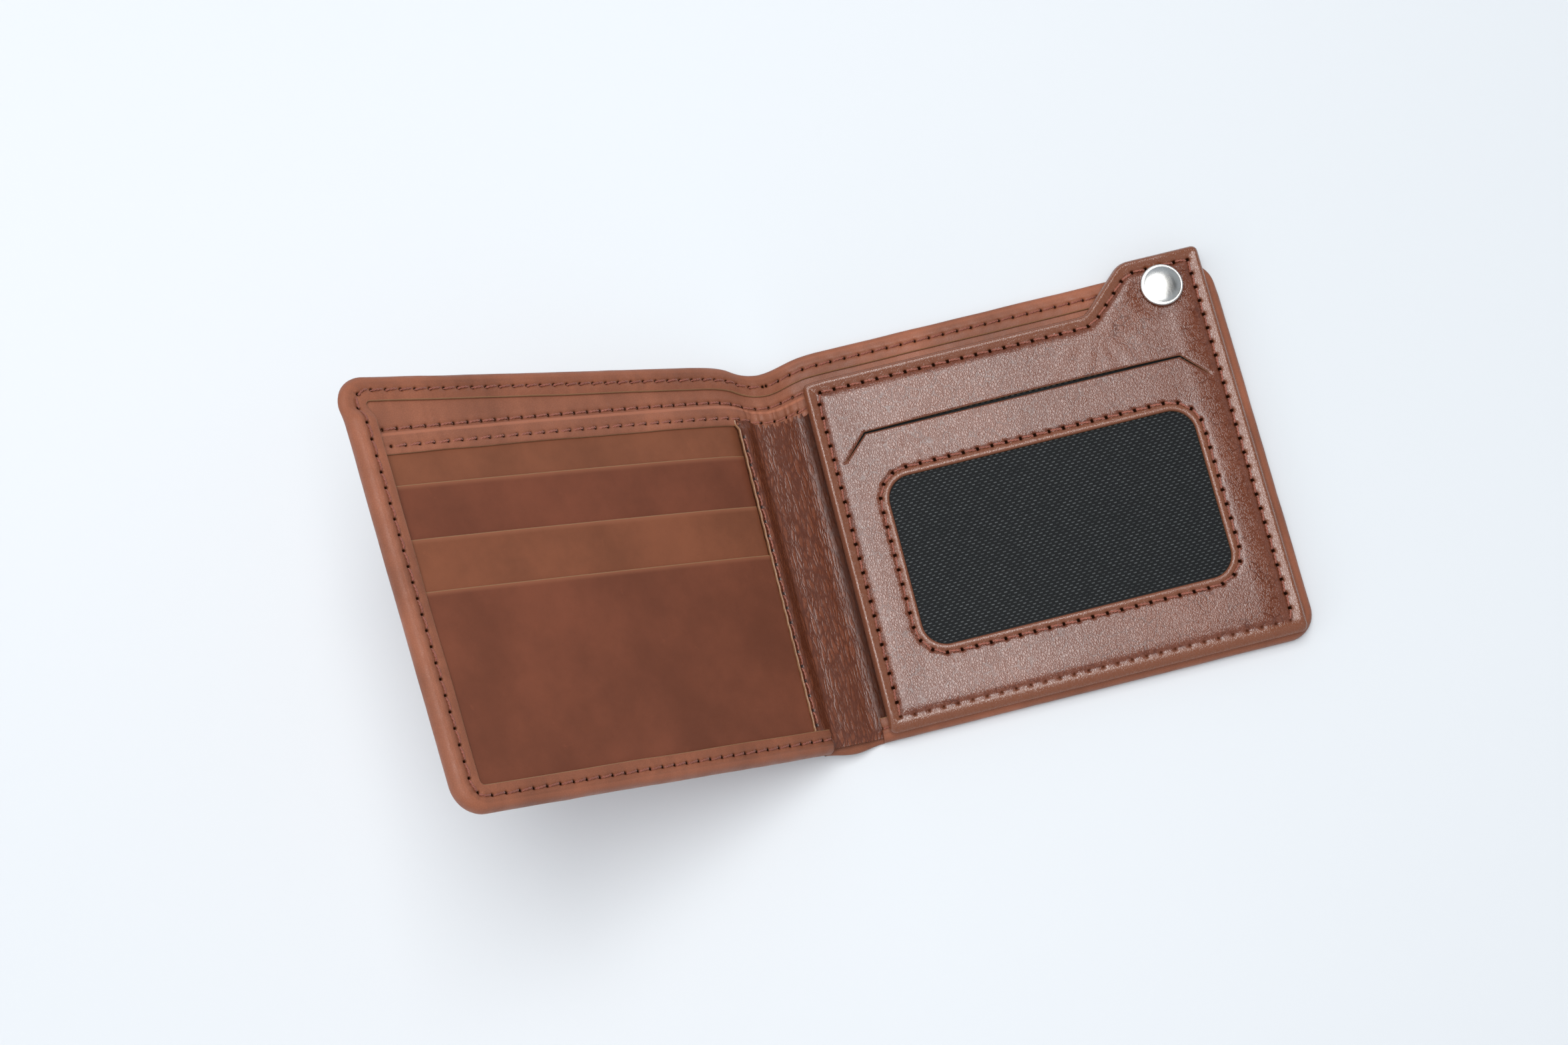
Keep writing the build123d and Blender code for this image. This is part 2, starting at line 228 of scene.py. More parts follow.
def make_piece(name, verts, faces, material, where, slot, nodes=(), marks=None, flat=None):
    """A mesh piece from points in the flat layout. marks are numbers on its points, for its material."""
    verts = np.asarray(verts, float)
    if flat is None and slot != "lining_cloth":
        verts, faces, marks = part_ends(verts, faces, marks)
    mesh = bpy.data.meshes.new(name)
    mesh.from_pydata((fold(verts) * MM).tolist(), [], [list(map(int, f)) for f in faces])
    layout = mesh.attributes.new("flat", "FLOAT_VECTOR", "POINT")
    layout.data.foreach_set("vector", (verts if flat is None else flat).astype(np.float32).ravel())
    for mark, values in (marks or {}).items():
        attribute = mesh.attributes.new(mark, "FLOAT", "POINT")
        attribute.data.foreach_set("value", np.asarray(values, np.float32))
    mesh.validate()
    mesh.polygons.foreach_set("use_smooth", [True] * len(mesh.polygons))
    obj = bpy.data.objects.new(name, mesh)
    bpy.context.scene.collection.objects.link(obj)
    mesh.materials.append(material)
    attach(obj, where)
    if nodes:
        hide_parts(*nodes)
    return obj


def grid_faces(rows, columns, start=0, wrap=False, flip=False):
    """Four-sided faces between neighbouring points of a grid. With wrap the columns close into a ring."""
    faces = []
    last = columns if wrap else columns - 1
    for i in range(rows - 1):
        for j in range(last):
            k = (j + 1) % columns
            quad = (i * columns + j, (i + 1) * columns + j, (i + 1) * columns + k, i * columns + k)
            faces.append(tuple(start + q for q in (quad[::-1] if flip else quad)))
    return faces


def sheet_grid(plan_x, plan_y, top, bottom):
    """Points and faces of a closed sheet over a grid of places, between its top and bottom heights."""
    rows, columns = plan_x.shape
    upper = np.stack([plan_x, plan_y, top], -1).reshape(-1, 3)
    lower = np.stack([plan_x, plan_y, bottom], -1).reshape(-1, 3)
    count = rows * columns
    faces = grid_faces(rows, columns) + grid_faces(rows, columns, count, flip=True)
    rim = [(0, j) for j in range(columns)] + [(i, columns - 1) for i in range(1, rows)]
    rim += [(rows - 1, j) for j in range(columns - 2, -1, -1)] + [(i, 0) for i in range(rows - 2, 0, -1)]
    ids = [i * columns + j for i, j in rim]
    for a, b in zip(ids, ids[1:] + ids[:1]):
        faces.append((a, b, b + count, a + count))
    return np.vstack([upper, lower]), faces


def mirrored(side, verts, faces):
    """A sheet made for the right wing, or its mirror image for the left wing when side is negative."""
    if side > 0:
        return verts, faces
    return verts * (-1, 1, 1), [f[::-1] for f in faces]


def both(top, under=None):
    """A mark's values on a sheet's top points, then on the points under them."""
    return np.concatenate([np.ravel(top), np.ravel(top if under is None else under)])


class Rings:
    """Rings of points across a band, with their marks, that make a tube along it."""

    def __init__(self, place, length):
        self.place, self.length = place, length
        self.rings, self.marks = [], {"pit": [], "cut": [], "edge": []}

    def add(self, across, z, **marks):
        self.rings.append(self.place(*(np.broadcast_to(v, self.length) for v in (across, z))))
        for name, values in self.marks.items():
            values.append(np.broadcast_to(marks.get(name, 0.0), self.length))

    def tube(self, flip, closed=True):
        count, length = len(self.rings), self.length
        faces = grid_faces(length, count, wrap=True, flip=flip)
        if closed:
            first, last = tuple(range(count)), tuple(range((length - 1) * count, length * count))
            faces += [first[::-1], last] if flip else [first, last[::-1]]
        marks = {name: np.stack(values, 1).ravel() for name, values in self.marks.items()}
        return np.stack(self.rings, 1).reshape(-1, 3), faces, marks


def spread(low, high, step, edge=0.35):
    """Places from low to high, closer together at both ends so that an edge can be round."""
    ends = edge * np.array([0.0, 0.04, 0.18, 0.45, 1.0])
    middle = np.linspace(low + edge, high - edge, max(3, int((high - low) / step)))
    return np.concatenate([low + ends[:-1], middle, high - ends[:-1][::-1]])


def edge_drop(distance, radius=0.3):
    """How far a cut edge's rounding lowers a sheet at this distance from its edge."""
    d = np.clip(distance, 0, radius)
    return radius - np.sqrt(np.maximum(radius**2 - (radius - d) ** 2, 0))


def stitch_dent(along, across, start=0.0):
    """Depth of a stitched groove, with its needle holes, and how dark it is."""
    phase = (along - start) / stitch_pitch
    to_hole = (phase - np.round(phase)) * stitch_pitch
    groove = np.exp(-((across / 0.55) ** 2))
    pit = np.exp(-((to_hole / hole_radius) ** 2) - (across / hole_radius) ** 2)
    swell = (1 - np.cos(2 * math.pi * phase)) / 2 * np.exp(-(((np.abs(across) - 0.95) / 0.6) ** 2))
    return 0.2 * groove + 0.5 * pit - 0.1 * swell, pit


# ---------------------------------------------------------------- materials


class Shader:
    """A material's nodes, with a few calls that keep the recipes short."""

    def __init__(self, name):
        self.material = bpy.data.materials.new(name)
        self.material.use_nodes = True
        self.tree = self.material.node_tree
        self.bsdf = self.tree.nodes["Principled BSDF"]

    def node(self, kind, links=None, **settings):
        made = self.tree.nodes.new("ShaderNode" + kind)
        for key, value in settings.items():
            if hasattr(made, key):
                setattr(made, key, value)
            else:
                made.inputs[key.replace("_", " ")].default_value = value
        for socket, source in (links or {}).items():
            self.tree.links.new(source, made.inputs[socket])
        return made

    def layout(self, stretch=(1, 1, 1)):
        """The flat layout's millimetres, stretched along each axis."""
        place = self.node("Attribute", attribute_name="flat").outputs["Vector"]
        if stretch == (1, 1, 1):
            return place
        return self.moved(place, "MULTIPLY", stretch)

    def cells(self, place, scale):
        """Distance to the lines between the leather's small cells."""
        made = self.node("TexVoronoi", {"Vector": place}, feature="DISTANCE_TO_EDGE", Scale=scale)
        return made.outputs["Distance"]

    def moved(self, place, operation, by):
        made = self.node("VectorMath", {0: place}, operation=operation)
        if isinstance(by, tuple):
            made.inputs[1].default_value = by
        else:
            self.tree.links.new(by, made.inputs[1])
        return made.outputs[0]

    def shaded(self, colour, shade):
        grey = self.node("CombineColor", {0: shade, 1: shade, 2: shade}).outputs[0]
        return self.mix(1.0, colour, grey, "MULTIPLY")

    def across(self, place):
        return self.node("SeparateXYZ", {"Vector": place}).outputs["X"]

    def leaning(self, place, angle, stretch):
        """The place turned by an angle and stretched along y."""
        made = self.node("Mapping", {"Vector": place}, Rotation=(0.0, 0.0, angle), Scale=(1.0, stretch, 1.0))
        return made.outputs[0]

    def mark(self, name):
        return self.node("Attribute", attribute_name=name).outputs["Fac"]

    def noise(self, size, place, detail=4.0, rough=0.55, distortion=0.0):
        made = self.node("TexNoise", {"Vector": place}, Scale=1 / size, Detail=detail, Distortion=distortion)
        made.inputs["Roughness"].default_value = rough
        return made.outputs["Fac"]

    def range(self, value, low, high, to_low=0.0, to_high=1.0):
        made = self.node("MapRange", {"Value": value}, interpolation_type="SMOOTHSTEP")
        for key, number in (("From Min", low), ("From Max", high), ("To Min", to_low), ("To Max", to_high)):
            made.inputs[key].default_value = number
        return made.outputs["Result"]

    def math(self, operation, a, b):
        made = self.node("Math", operation=operation)
        for index, value in enumerate((a, b)):
            if isinstance(value, (int, float)):
                made.inputs[index].default_value = value
            else:
                self.tree.links.new(value, made.inputs[index])
        return made.outputs[0]

    def mix(self, share, a, b, blend="MIX"):
        made = self.node("Mix", data_type="RGBA", blend_type=blend)
        for index, value in ((0, share), (6, a), (7, b)):
            if isinstance(value, (int, float)):
                made.inputs[index].default_value = value
            elif isinstance(value, tuple):
                made.inputs[index].default_value = (*value, 1.0)
            else:
                self.tree.links.new(value, made.inputs[index])
        return made.outputs[2]

    def bump(self, height, depth, under=None, strength=1.0):
        """depth is the height's full swing, in millimetres."""
        links = {"Height": height}
        if under is not None:
            links["Normal"] = under
        made = self.node("Bump", links, Strength=strength, Distance=depth * MM)
        return made.outputs["Normal"]

    def finish(self, **sockets):
        for key, value in sockets.items():
            socket = self.bsdf.inputs[key.replace("_", " ")]
            if isinstance(value, (int, float)):
                socket.default_value = value
            elif isinstance(value, tuple):
                socket.default_value = (*value, 1.0)
            else:
                self.tree.links.new(value, socket)
        return self.material


def tint(tone, factor):
    return tuple(c * factor for c in tone)


def leather_marks(s, colour, dark=(0.012, 0.004, 0.002), raw=(0.33, 0.17, 0.085)):
    """Darkens needle holes with painted shade, and shows the paler core of the leather on its cut edges."""
    colour = s.mix(s.range(s.mark("pit"), 0.1, 0.75), colour, dark)
    return s.mix(s.range(s.mark("cut"), 0.35, 0.9), colour, raw)


def insert_leather():
    """Soft wrinkled grain: fine ridges that lean one way, long thin creases darkened with painted shade, and
    a satin sheen.
    """
    s = Shader("insert_leather")
    place = s.layout()
    wander = s.node("TexNoise", {"Vector": place}, Scale=0.7, Detail=3.0).outputs["Color"]
    warped = s.moved(place, "ADD", s.moved(wander, "MULTIPLY", (0.9, 0.9, 0.9)))
    leaning = s.leaning(warped, 0.75, 0.62)
    large = s.cells(leaning, 0.55)
    small = s.cells(leaning, 2.1)
    crease = s.range(large, 0.0, 0.07)
    fine = s.range(small, 0.0, 0.22)
    ridges = s.noise(0.5, leaning, 4.0, 0.6, 0.2)
    age = s.noise(7.0, place, 5.0)
    patch = s.noise(24.0, place, 3.0)
    base = s.mix(s.range(patch, 0.3, 0.7), (0.175, 0.050, 0.024), (0.235, 0.074, 0.038))
    base = s.mix(s.range(age, 0.35, 0.7, 0.0, 0.5), base, (0.20, 0.056, 0.026))
    shown = s.range(s.noise(5.0, place, 3.0), 0.38, 0.62, 0.25, 0.9)
    # painted shade: the long creases, where the noise lets them show, and the fine grain lines are darkened
    # as shade in them
    deep = s.math("MULTIPLY", s.math("SUBTRACT", 1.0, crease), shown)
    colour = s.mix(deep, base, (0.095, 0.022, 0.010))
    colour = s.mix(s.range(fine, 0.0, 1.0, 0.5, 0.0), colour, (0.12, 0.03, 0.013))
    colour = s.mix(s.mark("rim"), colour, (0.235, 0.078, 0.036))
    colour = leather_marks(s, colour)
    rough = s.range(s.noise(3.0, place, 5.0), 0.3, 0.7, 0.17, 0.25)
    rough = s.math("MAXIMUM", rough, s.mark("pit"))
    shine = s.math("MULTIPLY", s.range(s.mark("pit"), 0.0, 0.5, 0.95, 0.0), s.range(fine, 0.0, 1.0, 0.6, 1.0))
    across = s.across(place)
    normal = s.bump(s.noise(14.0, place, 2.0), 0.10)
    normal = s.bump(s.range(across, 97.0, 108.5, 1.0, 0.0), 1.1, normal)
    normal = s.bump(s.math("MULTIPLY", crease, fine), 0.02, normal)
    normal = s.bump(ridges, 0.013, normal)
    return s.finish(Base_Color=colour, Roughness=rough, Normal=normal, Specular_IOR_Level=shine)


def cover_leather(name="cover_leather", tone=(0.295, 0.10, 0.052), gloss=0.46):
    """Smooth leather with a fine pore grain and painted shade in its pore lines, with a painted highlight
    along its rolled and folded edges.
    """
    s = Shader(name)
    place = s.layout()
    patch = s.noise(22.0, place, 4.0)
    streak = s.noise(5.0, s.layout((1, 0.35, 1)), 4.0)
    light = tint(tone, 1.3)
    deep = tint(tone, 0.78)
    base = s.mix(s.range(patch, 0.32, 0.68), deep, light)
    base = s.mix(s.range(streak, 0.4, 0.75), base, tone)
    pores = s.cells(place, 2.4)
    grain = s.range(pores, 0.0, 0.22)
    # painted shade in the pore lines between the grain's cells
    shade = s.range(grain, 0.0, 1.0, 0.88, 1.0)
    colour = s.shaded(base, shade)
    # painted highlight: paler where the edge mark lies along the top of a rolled hem or a folded binding
    colour = s.mix(s.range(s.mark("edge"), 0.1, 1.0, 0.0, 0.75), colour, tint(tone, 1.75))
    colour = leather_marks(s, colour)
    rough = s.range(s.noise(4.0, place, 5.0), 0.3, 0.7, gloss - 0.07, gloss + 0.1)
    rough = s.math("MAXIMUM", rough, s.mark("pit"))
    shine = s.range(s.mark("pit"), 0.0, 0.5, 0.36, 0.0)
    normal = s.bump(s.noise(9.0, place, 4.0), 0.35)
    normal = s.bump(grain, 0.015, normal)
    normal = s.bump(s.noise(0.5, place, 4.0), 0.03, normal)
    return s.finish(Base_Color=colour, Roughness=rough, Normal=normal, Specular_IOR_Level=shine)


def pocket_leather(name, tone, seed):
    """Waxy pull-up leather: even, with cloudy patches, faint scuffs, painted shade in its pores, and a paler
    slot edge that is partly burnish and partly a painted highlight.
    """
    s = Shader(name)
    place = s.moved(s.layout(), "ADD", (seed * 37.0, seed * 11.0, 0))
    cloud = s.noise(24.0, place, 5.0, 0.6)
    light = tint(tone, 1.22)
    deep = tint(tone, 0.85)
    colour = s.mix(s.range(cloud, 0.3, 0.72), deep, light)
    scuff = s.range(s.noise(6.0, place, 6.0, 0.7, 1.2), 0.62, 0.78, 0.0, 0.45)
    colour = s.mix(scuff, colour, tint(tone, 1.5))
    # paler slot edge: partly burnish, partly a painted highlight
    colour = s.mix(s.range(s.mark("edge"), 0.0, 1.0, 0.0, 0.7), colour, (0.34, 0.125, 0.065))
    speck = s.node("TexVoronoi", {"Vector": place}, Scale=2.2).outputs["Distance"]
    pore = s.range(speck, 0.05, 0.22, 0.0, 1.0)
    # painted shade in the pores
    shade = s.range(pore, 0.0, 1.0, 0.86, 1.0)
    colour = s.shaded(colour, shade)
    colour = leather_marks(s, colour)
    rough = s.range(s.noise(7.0, place, 5.0), 0.3, 0.7, 0.46, 0.6)
    normal = s.bump(s.noise(18.0, place, 3.0), 0.35)
    normal = s.bump(pore, 0.025, normal)
    return s.finish(Base_Color=colour, Roughness=rough, Normal=normal, Specular_IOR_Level=0.24)


def creased_leather():
    """The spine's glossy leather, with long soft creases that run along the fold and painted shade in them,
    and a painted shadow where it runs under the insert.
    """
    s = Shader("spine_leather")
    place = s.layout()
    wander = s.node("TexNoise", {"Vector": place}, Scale=0.25, Detail=2.0).outputs["Color"]
    warped = s.moved(place, "ADD", wander)
    along = s.leaning(warped, 0.12, 0.22)
    cells = s.cells(along, 1.1)
    small = s.cells(along, 2.6)
    crease = s.range(cells, 0.0, 0.3)
    fine = s.range(small, 0.0, 0.2)
    swell = s.noise(2.0, along, 4.0)
    # painted shade: darker in the creases and in the fine lines between the grain's cells
    colour = s.mix(crease, (0.125, 0.030, 0.012), (0.235, 0.065, 0.027))
    colour = s.mix(s.range(fine, 0.0, 1.0, 0.35, 0.0), colour, (0.07, 0.016, 0.006))
    colour = s.mix(s.range(s.noise(12.0, place, 3.0), 0.35, 0.7, 0.0, 0.5), colour, (0.13, 0.034, 0.014))
    across = s.across(place)
    # painted shadow: darker, and less glossy, towards the right end, where the leather curves down under the
    # insert's edge
    under = s.range(across, 5.5, 9.0)
    colour = s.mix(s.range(under, 0.0, 1.0, 0.0, 0.75), colour, (0.035, 0.009, 0.004))
    colour = leather_marks(s, colour)
    normal = s.bump(swell, 0.12)
    normal = s.bump(crease, 0.05, normal)
    normal = s.bump(fine, 0.012, normal)
    rough = s.range(s.noise(1.5, place, 4.0), 0.3, 0.7, 0.24, 0.36)
    shine = s.range(under, 0.0, 1.0, 0.62, 0.05)
    return s.finish(Base_Color=colour, Roughness=rough, Normal=normal, Specular_IOR_Level=shine)


def thread_material(name, tone):
    s = Shader(name)
    place = s.layout()
    fibre = s.noise(0.25, place, 4.0, 0.7)
    age = s.noise(11.0, place, 3.0)
    colour = s.mix(s.range(fibre, 0.3, 0.7), tint(tone, 0.6), tint(tone, 1.25))
    colour = s.mix(s.range(age, 0.4, 0.7, 0.0, 0.6), colour, tint(tone, 0.7))
    normal = s.bump(fibre, 0.05)
    return s.finish(Base_Color=colour, Roughness=0.62, Normal=normal, Sheen_Weight=0.25)


def lining_cloth():
    """Thin brown cloth in a plain weave."""
    s = Shader("lining_cloth")
    place = s.layout()
    across = s.node("TexWave", {"Vector": place}, Scale=0.55, bands_direction="X").outputs["Fac"]
    along = s.node("TexWave", {"Vector": place}, Scale=0.55, bands_direction="Y").outputs["Fac"]
    weave = s.math("MULTIPLY", across, along)
    colour = s.mix(s.range(weave, 0.0, 0.8), (0.045, 0.02, 0.012), (0.12, 0.06, 0.038))
    colour = s.mix(s.range(s.noise(8.0, place), 0.3, 0.7, 0.0, 0.4), colour, (0.07, 0.035, 0.022))
    return s.finish(Base_Color=colour, Roughness=0.8, Normal=s.bump(weave, 0.08), Sheen_Weight=0.2)


def black_mesh():
    """Black nylon net in a plain weave, its weft glinting where it crosses over."""
    s = Shader("black_mesh")
    place = s.layout()
    parts = s.node("SeparateXYZ", {0: place})
    x, y = parts.outputs[0], parts.outputs[1]
    rows = s.math("DIVIDE", y, mesh_row)
    shift = s.math("MULTIPLY", s.math("FLOOR", rows, 0.0), 0.5)
    dashes = s.math("ADD", s.math("DIVIDE", x, mesh_dash), shift)

    def from_end(value):
        """How far a place is from the nearer end of its dash or row, as a share of it."""
        part = s.math("FRACT", value, 0.0)
        return s.math("SUBTRACT", 0.5, s.math("ABSOLUTE", s.math("SUBTRACT", part, 0.5), 0.0))

    weft = s.math("MULTIPLY", s.range(from_end(dashes), 0.16, 0.30), s.range(from_end(rows), 0.20, 0.38))
    uneven = s.range(s.noise(1.3, place, 3.0), 0.25, 0.75, 0.35, 1.0)
    glint = s.math("MULTIPLY", weft, uneven)
    # the paler dashes are partly the weft's own grey and partly a painted glint where it crosses over
    colour = s.mix(glint, (0.003, 0.004, 0.005), (0.09, 0.098, 0.10))
    rough = s.range(glint, 0.0, 1.0, 0.6, 0.34)
    normal = s.bump(weft, 0.12)
    return s.finish(Base_Color=colour, Roughness=rough, Normal=normal, Specular_IOR_Level=0.2)


def nickel(name, rough_low, rough_high):
    s = Shader(name)
    rub = s.noise(0.8, s.layout((1, 0.15, 1)), 5.0, 0.6)
    colour = s.mix(s.range(s.noise(2.0, s.layout()), 0.3, 0.7), (0.72, 0.71, 0.68), (0.80, 0.79, 0.77))
    rough = s.range(rub, 0.3, 0.7, rough_low, rough_high)
    return s.finish(Base_Color=colour, Metallic=1.0, Roughness=rough, Normal=s.bump(rub, 0.004))


# ---------------------------------------------------------------- stitches


def two_plies(verts, faces, centre, side, t, number, coil, thick):
    """Adds a stitch along the centre line: two plies, coil from its middle and thick in radius, twisted."""
    up, ply_sides = np.array([0.0, 0.0, 1.0]), 6
    for ply in (0, math.pi):
        twist = ply + t * 2 * math.pi * 1.6 + number * 1.3
        core = centre + coil * (up * np.cos(twist)[:, None] * 0.8 + side * np.sin(twist)[:, None])
        base = len(verts)
        for k in range(len(t)):
            for a in np.arange(ply_sides) * 2 * math.pi / ply_sides:
                verts.append(core[k] + thick * (up * math.cos(a) + side[k] * math.sin(a)))
        faces += grid_faces(len(t), ply_sides, base, wrap=True)
        first, last = base, base + (len(t) - 1) * ply_sides
        faces.append(tuple(first + a for a in range(ply_sides)))
        faces.append(tuple(last + a for a in range(ply_sides))[::-1])


def stitch_row(name, path, material, where, slant=0.0, lift=0.0, nodes=()):
    """Two-ply thread over a path in the flat layout: one stitch from each needle hole to the next."""
    along = np.concatenate([[0], np.cumsum(np.linalg.norm(np.diff(path, axis=0), axis=1))])
    verts, faces, sink = [], [], 0.35
    t = np.linspace(0, 1, 10)
    for number, hole in enumerate(np.arange(0.0, along[-1] - stitch_pitch * 0.9, stitch_pitch)):
        s = hole + 0.34 + t * (stitch_pitch - 0.68)
        centre = np.stack([np.interp(s, along, path[:, k]) for k in range(3)], 1)
        ahead = np.gradient(centre, axis=0)
        ahead /= np.linalg.norm(ahead, axis=1)[:, None]
        side = np.cross((0.0, 0.0, 1.0), ahead)
        arch = np.sin(math.pi * t) ** 0.55
        wander = 0.05 * math.sin(number * 2.7)
        centre[:, 2] += lift - sink + (sink + 0.04) * arch
        centre = centre + side * (slant * (t - 0.5) + wander * arch)[:, None]
        two_plies(verts, faces, centre, side, t, number, 0.11, 0.13)
    return make_piece(name, verts, faces, material, where, "thread", nodes)


# ---------------------------------------------------------------- the cover


def wing_path(start_x, end_x, step):
    """Stations along a wing's three free sides, from start_x on the bottom edge to end_x on the top edge.
    Each has the centre and direction that give its point at any distance inside the edge."""
    r = corner_radius
    quarter = (r - hem_stitch) * math.pi / 2
    runs = [reach - r - start_x, quarter, height - 2 * r, quarter, reach - r - end_x]
    ends = np.cumsum(runs)
    s = np.linspace(0, ends[-1], int(ends[-1] / step) + 1)
    centre, heading = np.zeros((len(s), 2)), np.zeros((len(s), 2))
    for i, at in enumerate(s):
        if at <= ends[0]:
            centre[i], heading[i] = (start_x + at, r), (0, -1)
        elif at <= ends[1]:
            a = (at - ends[0]) / quarter * math.pi / 2 - math.pi / 2
            centre[i], heading[i] = (reach - r, r), (math.cos(a), math.sin(a))
        elif at <= ends[2]:
            centre[i], heading[i] = (reach - r, r + at - ends[1]), (1, 0)
        elif at <= ends[3]:
            a = (at - ends[2]) / quarter * math.pi / 2
            centre[i], heading[i] = (reach - r, height - r), (math.cos(a), math.sin(a))
        else:
            centre[i], heading[i] = (reach - r - (at - ends[3]), height - r), (0, 1)
    return s, centre, heading


def hem_band(start_x, end_x, over, side, seed):
    """The cover's turned edge: a roll round the outside, and a sewn band on the inside."""
    s, centre, heading = wing_path(start_x, end_x, stitch_pitch / 8)
    y_edge = centre[:, 1] + heading[:, 1] * corner_radius
    x_edge = centre[:, 0] + heading[:, 0] * corner_radius
    low_part = smooth((y_edge - 82.5) / 4.0)
    top = over + hem_t + (facing_top - over) * low_part
    roll = np.minimum(top / 2, 1.7)
    wobble = 0.12 * ripple(x_edge, y_edge, 14, seed, 2)
    corner = np.abs(heading[:, 0] * heading[:, 1]) * 2
    pleats = 0.22 * corner * np.sin(np.arctan2(heading[:, 1], heading[:, 0]) * 14)
    side_way = np.array([side, 1, 1])

    def place(distance, z):
        return np.column_stack([centre + heading * (corner_radius - distance)[:, None], z]) * side_way

    band = Rings(place, len(s))
    ring = band.add
    # the upper half of the roll carries the edge mark, which the leather shows as a painted highlight
    for angle in np.linspace(-math.pi / 2, math.pi / 2, 11):
        belly = 0.08 * ripple(x_edge, y_edge + angle * 3, 7, seed + 3, 2) * math.cos(angle)
        z = top / 2 * (1 + math.sin(angle))
        ring(roll * (1 - math.cos(angle)) - belly, z, edge=max(0, math.sin(angle)) * 0.4)
    for across in (2.0, 2.25, 2.5, 2.7, 2.9, 3.1, 3.3, 3.55, 3.9, 4.4, 4.9, 5.2):
        dent, pit = stitch_dent(s, across - hem_stitch)
        puff = 0.16 * np.sin(np.clip((across - 0.8) / 4.6, 0, 1) * math.pi)
        pleat = pleats * smooth((4.6 - across) / 2)
        ring(across + wobble * (across > 4), top + puff - dent + pleat, pit=pit)
    for distance, drop in ((5.3, 0.0), (5.42, 0.04), (5.52, 0.16), (5.56, 0.35), (5.56, hem_t - 0.05)):
        ring(distance + wobble, top - drop, cut=0.2 if drop < 0.01 else 1.0)
    ring(5.0, top - hem_t)
    ring(roll + 0.6, top - hem_t)
    ring(0.75, top / 2)
    ring(roll, cover_t - 0.1)
    return band.tube(flip=side > 0), place(np.full(s.shape, hem_stitch), top + 0.05)


def cover_plate(side, inset):
    """The flat of the cover between its turned edges, out to the middle of the spine."""
    r = corner_radius - inset
    arc = r * (1 - np.cos(np.linspace(0, math.pi / 2, 9)))
    middle = np.linspace(inset + r, height - inset - r, 42)[1:-1]
    ys = np.concatenate([inset + arc, middle, height - inset - arc[::-1]])
    near = np.minimum(ys - inset, height - inset - ys)
    cut_in = r - np.sqrt(np.maximum(r**2 - np.clip(r - near, 0, r) ** 2, 0))
    far = reach - inset - cut_in
    t = np.concatenate([np.linspace(0, 14, 29) / 104, np.linspace(14 / 104, 1, 60)[1:]])
    plan_x = t[:, None] * far[None, :]
    plan_y = np.broadcast_to(ys[None, :], plan_x.shape)
    top = np.full(plan_x.shape, cover_t)
    return mirrored(side, *sheet_grid(plan_x, plan_y, top, np.zeros(plan_x.shape)))


def join(parts):
    """Several point sets, face lists and marks as one."""
    verts, faces, marks = [], [], {}
    names = {k for part in parts for k in (part[2] if len(part) > 2 else {})}
    for part in parts:
        start = sum(len(v) for v in verts)
        verts.append(np.asarray(part[0], float))
        faces += [tuple(start + i for i in f) for f in part[1]]
        given = part[2] if len(part) > 2 else {}
        for name in names:
            marks.setdefault(name, []).append(np.asarray(given.get(name, np.zeros(len(part[0]))), float))
    return np.vstack(verts), faces, {k: np.concatenate(v) for k, v in marks.items()}


def spine_foot(side):
    """The cover's own small turned edge along the bottom of the spine, inside the two hems."""
    xs = np.linspace(0, 7.6, 24)
    foot = Rings(lambda y, z: np.column_stack([xs * side, y, z]), len(xs))
    for angle in np.linspace(-math.pi / 2, math.pi / 2, 9):
        y = 0.9 * (1 - math.cos(angle)) - 0.9 * np.cos(xs / 7.6 * math.pi / 2) ** 2
        foot.add(y, 0.8 * (1 + math.sin(angle)))
    for y, z in ((3.0, 1.62), (5.0, 1.6), (5.5, 1.45), (5.5, 1.05), (1.2, 1.0)):
        foot.add(y, z)
    return foot.tube(flip=side > 0, closed=False)


def build_cover(side, material, thread):
    word = "right" if side > 0 else "left"
    over = slip_pocket_top if side > 0 else pockets_top
    band, line = hem_band(crease + 1.4, 0.0, over, side, 11 if side > 0 else 17)
    verts, faces, marks = join([band, cover_plate(side, 1.2), spine_foot(side)])
    nodes = [f"cover_{word}"] + (["cover_spine"] if side > 0 else [])
    make_piece(f"cover_{word}_skin", verts, faces, material, f"{word} crease", "cover_leather", nodes, marks)
    hem_nodes = [f"hem_thread_{word}"] + (["hem_thread_spine"] if side > 0 else [])
    stitch_row(f"hem_stitches_{word}", line, thread, f"{word} crease", slant=0.3, lift=0.12, nodes=hem_nodes)


# ---------------------------------------------------------------- sheets inside the cover


